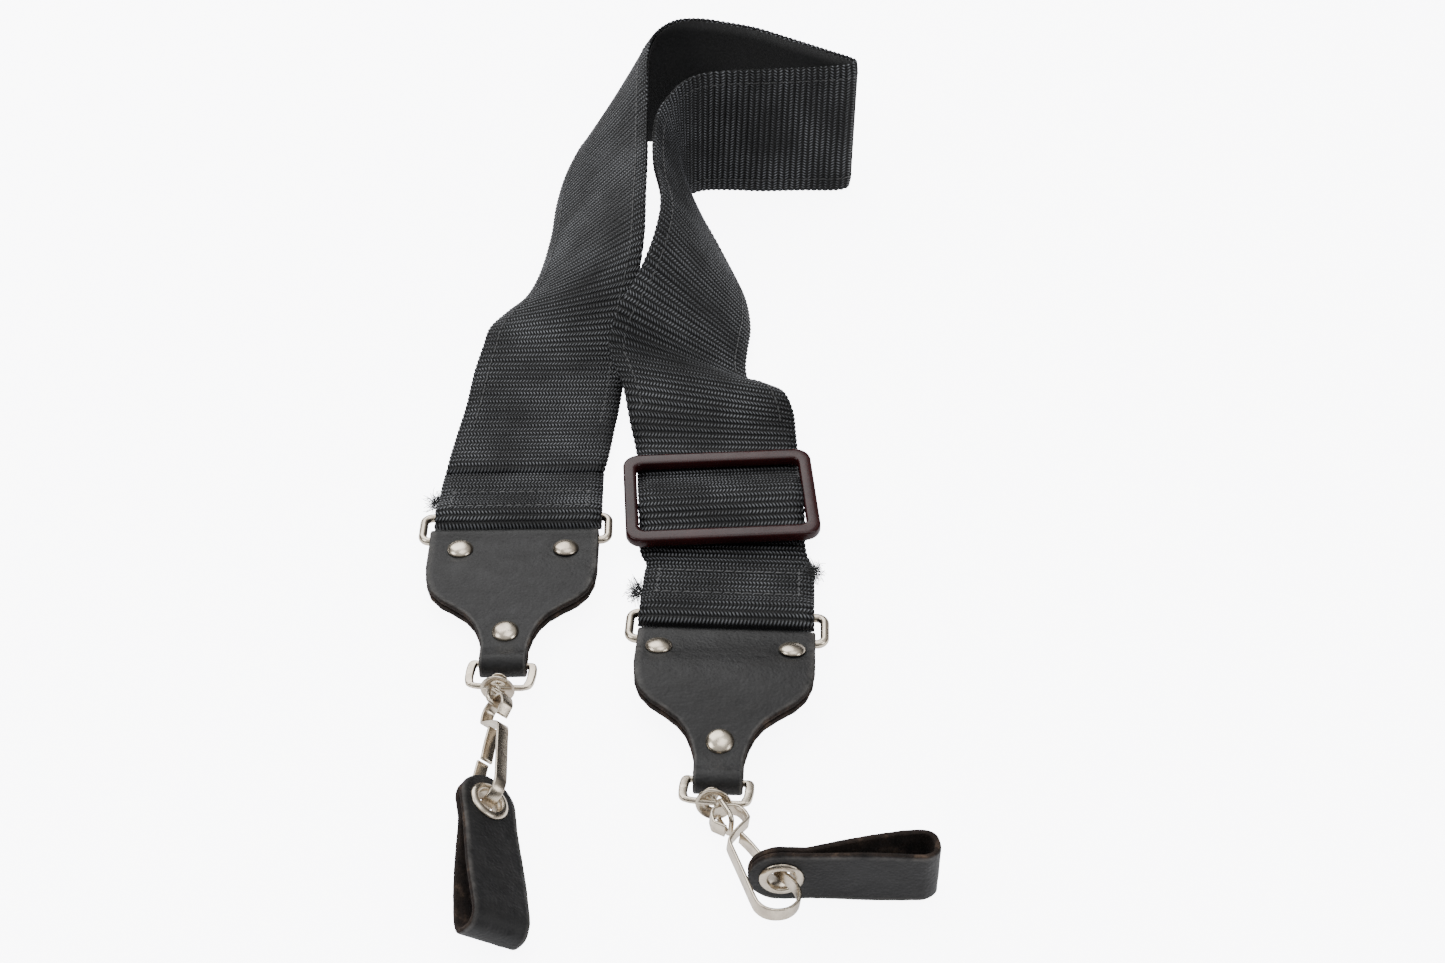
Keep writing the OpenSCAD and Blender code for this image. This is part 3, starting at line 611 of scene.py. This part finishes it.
def ribbon(name, rows, columns, low, high, edge, relief):
    # a closed band; edge(s) draws each side in or out, relief(u, s, face) lifts a point
    points, lay = [], []
    for a, b, normal, s in rows:
        across = (b - a).normalized()
        width = (b - a).length
        left, right = edge(s, 0), width - edge(s, 1)
        for face, level in ((1, high), (-1, low)):
            for k in range(columns + 1):
                t = k / columns if face > 0 else 1 - k / columns
                u = left + (right - left) * t
                tuck = 0.35 if k in (0, columns) else 1
                mid = (high + low) / 2
                offset = mid + (level - mid) * tuck + face * relief(u, s, face) * tuck
                points.append(a + across * u + normal * offset)
                lay.append((u / 1000, s / 1000))
    count = 2 * (columns + 1)
    mesh = bpy.data.meshes.new(name)
    mesh.from_pydata([p / 1000 for p in points], [], gridFaces(len(rows), count))
    layer = mesh.uv_layers.new(name="lay")
    for loop in mesh.loops:
        layer.data[loop.index].uv = lay[loop.vertex_index]
    shape = bmesh.new()
    shape.from_mesh(mesh)
    bmesh.ops.recalc_face_normals(shape, faces=shape.faces)
    shape.to_mesh(mesh)
    shape.free()
    return addObject(name, mesh)


def ribRelief(u, s, face):
    wander = 0.18 * noise.noise(Vector((u * 0.05, s * 0.07, 1.7)))
    phase = abs(math.sin(math.pi * (s / strapRun["rib"] + wander)))
    return -strapRun["ribDepth"] * (1 - phase ** 0.7)


def webEdge(s, side):
    bead = 0.16 * math.cos(2 * math.pi * s / strapRun["rib"])
    return 0.1 + bead + 0.3 * noise.noise(Vector((s * 0.06, side * 7.3, 0.4)))


stepLength = strapRun["rib"] / strapRun["rowsPerRib"]
webRows = spacedFrames(wholeRun, stepLength)
half = strapRun["thick"] / 2
strap = ribbon("ribbedWebbing", webRows, 15, -half, half, webEdge, ribRelief)
finishPiece(strap, webbing, "strap", "ribbed_webbing", "webbing")

# the lining covers the neck and both limbs behind the webbing
liningSize = {"thick": 0.5, "gap": 0.16, "inset": 0.75, "scallop": 0.4, "pitch": 3.4}
startAt = next(r[3] for r in webRows if (r[0] - Vector(loopPairs[1][:3])).length < 1.2)
endAt = next(r[3] for r in reversed(webRows) if (r[0] - Vector(loopPairs[40][:3])).length < 1.2)
liningRows = [r for r in webRows[::2] if startAt <= r[3] <= endAt]


def liningEdge(s, side):
    wave = abs(math.sin(math.pi * s / liningSize["pitch"] + side))
    return liningSize["inset"] + liningSize["scallop"] * wave


top = -half - liningSize["gap"]
backing = ribbon("smoothLining", liningRows, 12, top - liningSize["thick"], top, liningEdge,
                 lambda u, s, face: 0)
finishPiece(backing, lining, "strap", "lining_cloth", "lining")


def onFace(row, u, lift):
    across = (row[1] - row[0]).normalized()
    return row[0] + across * u + row[2] * lift


seams = {"inset": 4.9, "pitch": 0.0031, "length": 0.0027, "thread": 0.00026}
seamRows = [r for r in webRows[::2] if startAt + 6 <= r[3] <= endAt - 6]
seamLines = []
for k, far in enumerate((False, True)):
    line = [onFace(r, (r[1] - r[0]).length - seams["inset"] if far else seams["inset"], half - 0.02)
            for r in seamRows]
    seamLines.append(growNodes("seam", guideLine(line), sewnLine, {
        "pitch": seams["pitch"], "length": seams["length"], "thread": seams["thread"], "seed": 4 + k,
        "material": sewingThread}))
seam = joinPieces("liningSeams", seamLines)
finishPiece(seam, sewingThread, "strap", "thread", "lining_stitching")


def rowAt(ring, shift, d):
    # the strap's row that lies a distance up from a ring's long bar, on the upper layer
    spot = ring @ Vector((shift, strapRun["ringGap"] / 2 + d, 0))
    best = min((r for r in webRows if r[2].z > 0.3 and (r[0] + r[1])[2] / 2 > 0.8),
               key=lambda r: ((r[0] + r[1]) / 2 - spot).xy.length)
    return webRows.index(best)


hemSewing = {"left": (1.5, 11.5), "right": (8, 19.7), "inset": 4.4, "pitch": 0.0029, "length": 0.0024,
             "thread": 0.00032}
hemLines = []
for k, (ring, shift, side) in enumerate(((leftRing, 0.6, "left"), (rightRing, -0.4, "right"))):
    rows = [rowAt(ring, shift, d) for d in hemSewing[side]]
    low, high = min(rows), max(rows)
    inset, width = hemSewing["inset"], (webRows[low][1] - webRows[low][0]).length
    corners = [[onFace(webRows[i], u, half) for u in (inset, width - inset)] for i in (low, high)]
    sides = [[onFace(webRows[i], u, half) for i in range(low, high + 1, 2)] for u in (inset, width - inset)]
    for line in (corners[0], corners[1], sides[0], sides[1]):
        hemLines.append(growNodes("hemLine", guideLine(line), sewnLine, {
            "pitch": hemSewing["pitch"], "length": hemSewing["length"], "thread": hemSewing["thread"],
            "seed": 20 + len(hemLines), "material": hemThread}))
hems = joinPieces("hemStitching", hemLines)
finishPiece(hems, hemThread, "strap", "thread", "hem_stitching")

tufts = {"spots": ((-68.9, -36, 2.4), (-6.6, -75, 2.4), (44.4, -67, 2.4)), "wide": 1.5, "tall": 3.2,
         "length": 0.0036, "density": 9e6, "fibre": 0.00008, "bend": 1.1}
tuftPieces = []
for k, spot in enumerate(tufts["spots"]):
    oval = Matrix.Translation(base + Vector(spot)) @ Matrix.Diagonal((tufts["wide"], tufts["tall"], 1, 1))
    core = lathe("tuftCore", [(0, -0.6), (0.7, -0.4), (1, 0), (0.7, 0.4), (0, 0.6)], oval, 12)
    tuftPieces.append(growNodes("tuft", core, looseFibres, {
        "density": tufts["density"], "length": tufts["length"], "fibre": tufts["fibre"], "bend": tufts["bend"],
        "seed": 31 + k, "material": tuftFibre}))
tuft = joinPieces("frayedTufts", tuftPieces)
finishPiece(tuft, tuftFibre, "strap", "thread", "thread_tufts")
print("lining, seams and tufts are sewn on")

# slider
slider = {"at": (17.3, -37.6, 0), "yaw": 3.7, "width": 58, "length": 40, "bar": 4.6, "sideBar": 4, "low": 4.6,
          "thick": 3.2, "corner": 5, "innerCorner": 2.2, "bevel": 0.7, "barHeight": 3.6, "postHeight": 4,
          "postX": 27, "coverThick": 1.6, "coverWidth": 49.8}
sliderPlace = place(base + Vector(slider["at"]), slider["yaw"])


def frameBand(outer, inner, low, thick, bevel, where, name):
    # a flat frame between two matching outlines, with its edges eased
    top, points = low + thick, []
    for (ox, oy), (ix, iy) in zip(outer, inner):
        o, i = Vector((ox, oy)), Vector((ix, iy))
        way = (i - o).normalized()
        under = ((0, low + bevel), (bevel * 0.3, low + bevel * 0.3), (bevel, low))
        over = ((0, top - bevel), (bevel * 0.3, top - bevel * 0.3), (bevel, top), (bevel * 2, top + 0.06))
        ring = [(o + way * t, z) for t, z in under] + [(i - way * t, z) for t, z in reversed(under)]
        ring += [(i - way * t, z) for t, z in over] + [(o + way * t, z) for t, z in reversed(over)]
        points += [(p.x, p.y, z) for p, z in ring]
    return newPiece(name, points, gridFaces(len(outer), len(ring), True), where)


outline = roundedPath(slider["width"], slider["length"], slider["corner"], 10)
opening = roundedPath(slider["width"] - 2 * slider["sideBar"], slider["length"] - 2 * slider["bar"],
                      slider["innerCorner"], 10)
frameParts = [frameBand(outline, opening, slider["low"], slider["thick"], slider["bevel"], sliderPlace,
                        "frame")]
barPath = [(x, 0) for x in (-slider["postX"], 0, slider["postX"])]
barPlace, postPlace = (sliderPlace @ Matrix.Translation((0, 0, z)) for z in (slider["barHeight"], slider["postHeight"]))
frameParts.append(sweepFlat("bar", barPath, circle(1, 20), barPlace))
for side in (-1, 1):
    post = [(side * slider["postX"] + dx, y) for dx, y in ((0, -1.6), (0, -0.8), (0, 0.8), (0, 1.6))]
    frameParts.append(sweepFlat("post", post, roundedBox(1, 1, 0.3, 3), postPlace))
sliderFrame = joinPieces("sliderFrame", frameParts)
finishPiece(sliderFrame, brownPlastic, "slider", "brown_plastic", "slider_frame")

arch = [(18, 3.35), (14, 3.5), (10, 4.5), (6, 6.1), (3, 7.1), (0, 7.4), (-3, 7.1), (-6, 6.1), (-10, 4.5),
        (-14, 3.5), (-18, 3.35)]
coverHalf = slider["coverWidth"] / 2
archRun = smoothRun([tuple(sliderPlace @ Vector((coverHalf, y, z)))
                     + tuple(sliderPlace @ Vector((-coverHalf, y, z))) for y, z in arch], 8)
coverRows = spacedFrames(archRun, 0.5)
halfCover = slider["coverThick"] / 2
cover = ribbon("archedWebbing", coverRows, 15, -halfCover, halfCover, webEdge, ribRelief)
finishPiece(cover, webbing, "slider", "ribbed_webbing", "slider_bar_cover")
print("slider is on")

# ends: ring, leather, rivets, strap loop, swivel eye, hook, gate, tab, eyelet
# loop, eye and hook are the turns of each piece in the one above it, as yaw, pitch and roll
ends = {
    "left": {"ring": leftRing, "loop": (-5, -3), "eye": (8.1, -14.1, -49.2), "hook": (-7.9, 6.5, 0.4),
             "slip": (0, -10.9, 0), "rivetSpread": 15.4, "bow": 0.8, "way": -1, "hold": (0, 1.6),
             "tab": place(base + Vector((-41.8, -162.9, 10.7)), 10, 2, 38.5), "seed": 3},
    "right": {"ring": rightRing, "loop": (-4, -12), "eye": (29.5, 0.7, 4), "hook": (-4.8, 5.3, 0.5),
              "slip": (0, -11.15, -0.35), "rivetSpread": 18.4, "bow": 3.6, "way": 1, "hold": (-0.4, 7),
              "tab": place(base + Vector((32.4, -183, 8.9)), 90, 0, -90), "seed": 8}}
leatherEnd = {"thick": 2, "ringFold": 3.35, "neckFold": 3.55, "neck": -51.45, "step": 0.55, "columns": 26,
              "rivetRow": -6.5, "rivetLow": -40.6,
              "half": ((8, 24.9), (-14, 24.9), (-19.5, 24.3), (-24, 22.7), (-27.6, 19.6), (-30.4, 15.6), (-33.4, 11.9),
                       (-36.8, 9.4), (-40.6, 7.8), (-45, 6.7), (-62, 6.4))}
wire = {"ring": 1.25, "ringWidth": 55, "ringCorner": 2.4, "eye": 0.7, "neckBar": 0.9}
hookPath = [(-2.2, 7.7), (-4.4, 5.6), (-4.6, 4.9), (-4.3, 2.6), (-3.4, 0.9), (-1.8, 0.1), (0, 0), (1.8, 0.1),
            (3.4, 0.9), (4.3, 2.6), (4.6, 4.8), (4.3, 5.6), (1.6, 7.8), (-0.9, 10), (-2.5, 11.8), (-3, 13.4),
            (-3, 19), (-3, 26), (-3, 32.8), (-2.6, 34.8), (-1.6, 36.4), (0, 37.4), (2, 37.8), (4, 37.6), (6, 36.6),
            (7.6, 35), (8.6, 32.8), (8.7, 30.4), (8.1, 28.2), (6.9, 25.2), (5.2, 20)]
gatePath = [(0.9, 10.5), (2.3, 14.6), (3.7, 20.4)]
strip = {"width": 3.6, "thick": 0.9, "ease": 0.3}
tab = {"half": 8.25, "thick": 1.6, "hole": 4.0, "step": 0.5, "columns": 16,
       "side": ((9, 0.9), (-7, 0.9), (-20, 1.1), (-33, 1.45), (-35.8, 1.1), (-37.6, -0.15), (-38.1, -1.5),
                (-37.9, -4), (-36.9, -5.7), (-34.8, -6.4), (-31, -6.1), (-22, -4.4), (-12, -2.3), (-6.5, -0.95),
                (-4, -0.9), (9, -0.9))}


def halfWidthAt(table, y):
    if y >= table[0][0]:
        return table[0][1]
    for (y0, w0), (y1, w1) in zip(table, table[1:]):
        if y1 <= y <= y0:
            return w0 + (w1 - w0) * (y0 - y) / (y0 - y1)
    return table[-1][1]


def bandSection(halfWidth, halfThick, columns):
    # points of (across, out, cut, rub) round a strip with eased, slightly rounded cut edges
    ease = min(0.5, halfWidth * 0.4)
    face = [(-1 + 2 * k / columns) * (halfWidth - ease) for k in range(columns + 1)]
    rim = ((halfWidth - ease * 0.35, 0.86, 0.3, 1), (halfWidth, 0.42, 1, 0.4), (halfWidth + 0.03, 0, 1, 0),
           (halfWidth, -0.42, 1, 0), (halfWidth - ease * 0.35, -0.86, 1, 0))
    out = [(x, halfThick, 0, 1 if k in (0, columns) else 0.1) for k, x in enumerate(face)]
    out += [(x, h * halfThick, c, r) for x, h, c, r in rim]
    out += [(x, -halfThick, 1, 0) for x in reversed(face)]
    out += [(-x, h * halfThick, c, r) for x, h, c, r in reversed(rim)]
    return out


def leatherBand(name, midline, closed, widthAt, thick, columns, where, lift, seed):
    # a leather strip that follows a side view of (y, z) points; lift(x, y, top) shapes the outer face
    count, points, cuts, rubs = len(midline), [], [], []
    for i, (y, z) in enumerate(midline):
        a = midline[(i - 1) % count] if closed else midline[max(i - 1, 0)]
        b = midline[(i + 1) % count] if closed else midline[min(i + 1, count - 1)]
        tangent = (Vector(b) - Vector(a)).normalized()
        out = Vector((tangent.y, -tangent.x))
        for x, h, cut, rub in bandSection(widthAt(y), thick / 2, columns):
            rough = 0.1 * noise.noise(Vector((x * 0.4, y * 0.4, z * 0.4 + seed)))
            ragged = 0.14 * noise.noise(Vector((y * 0.9, h + seed, x * 0.05)))
            ragged *= 1 if cut and abs(h) < thick / 2 else 0
            outer = max(h, 0) / (thick / 2)
            raised = h + (rough + lift(x, y, z > 0)) * outer
            points.append((x + math.copysign(ragged, x), y + out.x * raised, z + out.y * raised))
            cuts.append(cut)
            rubs.append(rub)
    ring = len(points) // count
    return newPiece(name, points, gridFaces(count, ring, closed), where, {"cut": cuts, "rub": rubs})


def endMidline():
    fold, neck, y = leatherEnd["ringFold"] - 1, leatherEnd["neckFold"] - 1, leatherEnd["neck"]

    def arc(centre, radius, degrees):
        return [(centre + radius * math.cos(math.radians(a)), radius * math.sin(math.radians(a))) for a in degrees]

    ringArc = arc(0, fold, range(-80, 81, 20))
    topRun = [(-2.6, 1.72), (-6, 1.3), (-12, 1.2), (-20, 1.2), (-30, 1.2), (-40, 1.2), (y + 5.5, 1.28),
              (y + 3, 1.75)]
    neckArc = arc(y, neck, range(80, 281, 20))
    underRun = [(a, -b) for a, b in reversed(topRun)]
    return evenPath(smoothRun(ringArc + topRun + neckArc + underRun, 6, True), leatherEnd["step"], True)


def rivetSpots(end):
    low, high, spread = leatherEnd["rivetLow"], leatherEnd["rivetRow"], end["rivetSpread"]
    return (-spread, high), (spread, high), (0, low)


def endLift(end):
    def lift(x, y, top):
        value = 0
        for rx, ry in rivetSpots(end):
            r = math.hypot(x - rx, y - ry)
            if r < 6.5:
                value -= 0.28 * (1 - (r / 6.5) ** 2)
        if top:
            value += 0.55 * math.exp(-((y + 17) / 9) ** 2) * (1 - (x / 30) ** 2)
        return value
    return lift


def bowed(end, y):
    # how far the leather stands up between the ring and the neck
    if not leatherEnd["neck"] < y < 0:
        return 0
    t = y / leatherEnd["neck"]
    return end["bow"] * math.sin(math.pi * t ** 0.75) ** 1.5


def bendUp(piece, end, where):
    # lifts a piece's points with the bow, in the leather's own frame
    back = where.inverted()
    for point in piece.data.vertices:
        local = back @ (point.co * 1000)
        local.z += bowed(end, local.y)
        point.co = (where @ local) / 1000


def bored(piece, radius, where):
    # cuts a round hole through a piece
    cutter = lathe("cutter", [(0, -15), (radius, -15), (radius, 15), (0, 15)], where, 48)
    tool = piece.modifiers.new("bore", "BOOLEAN")
    tool.operation, tool.object, tool.solver = "DIFFERENCE", cutter, "EXACT"
    bpy.context.view_layer.update()
    graph = bpy.context.evaluated_depsgraph_get()
    mesh = bpy.data.meshes.new_from_object(piece.evaluated_get(graph), depsgraph=graph)
    piece.modifiers.remove(tool)
    piece.data = mesh
    bpy.data.objects.remove(cutter)
    return piece


def tabWidth(y):
    return math.sqrt(max(tab["half"] ** 2 - y * y, 0.12)) if y > 0 else tab["half"] + 0.2 * math.sin(y * 0.21)


def tabMidline():
    run = evenPath(smoothRun(tab["side"], 6), tab["step"])
    run = [p for p in run if p[0] <= 6.5]
    tip = [8.22, 8.1, 7.8, 7.4, 6.95]
    return [(y, 0.9) for y in tip] + run + [(y, -0.9) for y in reversed(tip)]


rivet = {"cap": ((0, 1.5), (0.9, 1.47), (1.9, 1.28), (2.7, 0.98), (3.35, 0.55), (3.72, 0.12), (3.8, -0.15),
                 (3.6, -0.3), (0, -0.3)), "seat": (2.55, 2.55, 2.2),
         "back": ((0.9, -0.1), (1.5, -0.55), (2.4, -0.8), (3, -0.6), (3.2, -0.15), (3.1, 0.1), (0.9, 0.1))}
capShape = lathe("capShape", rivet["cap"], Matrix.Identity(4), 36)
for side, end in ends.items():
    leatherPlace = end["ring"] @ Matrix.Translation((0, -strapRun["ringGap"] / 2, 0))
    loopPlace = leatherPlace @ Matrix.Translation((0, leatherEnd["neck"], 0)) @ place((0, 0, 0), *end["loop"])
    eyePlace = loopPlace @ Matrix.Translation((0, -8.6, 0)) @ place((0, 0, 0), *end["eye"])
    hookPlace = eyePlace @ Matrix.Translation(end["slip"]) @ place((0, 0, 0), *end["hook"])

    wirePath = roundedPath(wire["ringWidth"], strapRun["ringGap"], wire["ringCorner"], 8)
    ring = sweepFlat(side + "Ring", wirePath, circle(wire["ring"], 20), end["ring"], True)
    finishPiece(ring, nickel, side + "_ring", "nickel", side + "_ring")

    hide = leatherBand(side + "LeatherEnd", endMidline(), True,
                       lambda y: halfWidthAt(leatherEnd["half"], y) - 0.1, leatherEnd["thick"] - 0.1,
                       leatherEnd["columns"], leatherPlace, endLift(end), end["seed"])
    bendUp(hide, end, leatherPlace)
    finishPiece(hide, leather, side + "_end", "black_leather", side + "_leather_end")

    guide = bpy.data.objects.new("guide", bpy.data.meshes.new("guide"))
    seats = [(x, y, z) for (x, y), z in zip(rivetSpots(end), rivet["seat"])]
    guide.data.from_pydata([Vector(seat) / 1000 for seat in seats], [], [])
    world.objects.link(guide)
    caps = growNodes(side + "RivetCaps", guide, rivetRow, {"head": capShape, "material": nickel})
    caps.data.transform(Matrix.Translation(leatherPlace.translation / 1000) @ leatherPlace.to_3x3().to_4x4())
    bendUp(caps, end, leatherPlace)
    finishPiece(caps, nickel, side + "_end", "nickel", side + "_rivet_caps")
    backs = [lathe("back", rivet["back"], leatherPlace @ Matrix.Translation((x, y, -z + 0.05)), 28, True)
             for x, y, z in seats]
    backPiece = joinPieces(side + "RivetBacks", backs)
    bendUp(backPiece, end, leatherPlace)
    finishPiece(backPiece, nickel, side + "_end", "nickel", side + "_rivet_backs")

    # closed loop: round bar through the leather, flat side bars, thin bottom bar
    loopPath = smoothRun([(-6.2, 0), (0, 0), (6.2, 0), (8, -0.4), (8.5, -2), (8.45, -6), (7.9, -7.9), (6.6, -8.8),
                          (3.5, -9), (0, -9), (-3.5, -9), (-6.6, -8.8), (-7.9, -7.9), (-8.45, -6), (-8.5, -2),
                          (-8, -0.4)], 8, True)

    def loopSection(t, path=loopPath):
        x, y = path[min(round(t * len(path)), len(path) - 1)]
        flat = min(max((abs(x) - 7.2) / 0.8, 0), 1)
        bar = wire["neckBar"] if y > -4 else 0.85
        return roundedBox(bar + 0.3 * flat, bar - 0.05 * flat, bar * (0.96 - 0.42 * flat), 4)

    loopParts = [sweepFlat("loop", loopPath, loopSection, loopPlace, True)]
    hubTurn = loopPlace @ Matrix.Translation((0, -8.6, 0)) @ Matrix.Rotation(math.radians(90), 4, "X")
    hub = [(2.3, -0.6), (2.45, -0.7), (3.2, -0.6), (4, 0.1), (4.7, 0.98), (4.76, 1.25), (4.6, 1.5), (4.35, 1.55),
           (3.7, 0.9), (2.9, 0.48), (2.4, 0.36), (2.3, 0.2)]
    loopParts.append(lathe("hub", hub, hubTurn, 44, True))
    loopPiece = joinPieces(side + "StrapLoop", loopParts)
    finishPiece(loopPiece, nickel, side + "_loop", "nickel", side + "_strap_loop")

    stem = [(0, -2.9), (0.75, -2.85), (0.75, 2.45), (2.3, 2.5), (2.6, 2.65), (2.45, 2.95), (2, 3.2), (0, 3.3)]
    eyeParts = [lathe("stem", stem, eyePlace @ Matrix.Rotation(math.radians(-90), 4, "X"), 28)]
    eyeRing = roundedPath(8.3, 6, 2, 8)
    eyeTurn = eyePlace @ Matrix.Translation((0, -6.75, 0)) @ Matrix.Rotation(math.radians(90), 4, "Y") \
        @ Matrix.Rotation(math.radians(90), 4, "Z")
    eyeParts.append(sweepFlat("wire", eyeRing, circle(wire["eye"], 14), eyeTurn, True))
    eye = joinPieces(side + "SwivelEye", eyeParts)
    finishPiece(eye, nickel, side + "_swivel", "nickel", side + "_swivel_eye")

    def hookPoints(path):
        return [(end["way"] * (p - end["hold"][0]), -(q - end["hold"][1])) for p, q in path]

    band = roundedBox(strip["thick"] / 2, strip["width"] / 2, strip["ease"], 3)
    hook = sweepFlat(side + "Hook", evenPath(smoothRun(hookPoints(hookPath), 6), 0.45), band, hookPlace)
    finishPiece(hook, nickel, side + "_hook", "nickel", side + "_hook")
    gate = sweepFlat(side + "Gate", evenPath(smoothRun(hookPoints(gatePath), 6), 0.5), band, hookPlace)
    finishPiece(gate, nickel, side + "_gate", "nickel", side + "_gate")

    folded = leatherBand(side + "LeatherTab", tabMidline(), False, tabWidth, tab["thick"], tab["columns"],
                         end["tab"], lambda x, y, top: 0, end["seed"] + 20)
    folded = bored(folded, tab["hole"], end["tab"])
    finishPiece(folded, leather, side + "_tab", "black_leather", side + "_tab")

    collar = [(3.5, -1.8), (3.5, 2.2), (3.62, 2.42), (3.95, 2.58), (4.4, 2.6), (4.95, 2.45), (5.4, 2.15), (5.68, 1.8),
              (5.6, 1.72), (4, 1.72), (4, -1.8)]
    eyelet = lathe(side + "Eyelet", collar, end["tab"], 48, True)
    finishPiece(eyelet, nickel, side + "_tab", "nickel", side + "_eyelet")
    washer = [(3.5, -1.85), (3.62, -2.2), (4, -2.42), (4.7, -2.38), (5.3, -2.15), (5.58, -1.85), (5.4, -1.75),
              (4.1, -1.75)]
    under = lathe(side + "EyeletWasher", washer, end["tab"], 48, True)
    finishPiece(under, nickel, side + "_tab", "nickel", side + "_eyelet_washer")
    print(side, "end is assembled")
bpy.data.objects.remove(capShape)
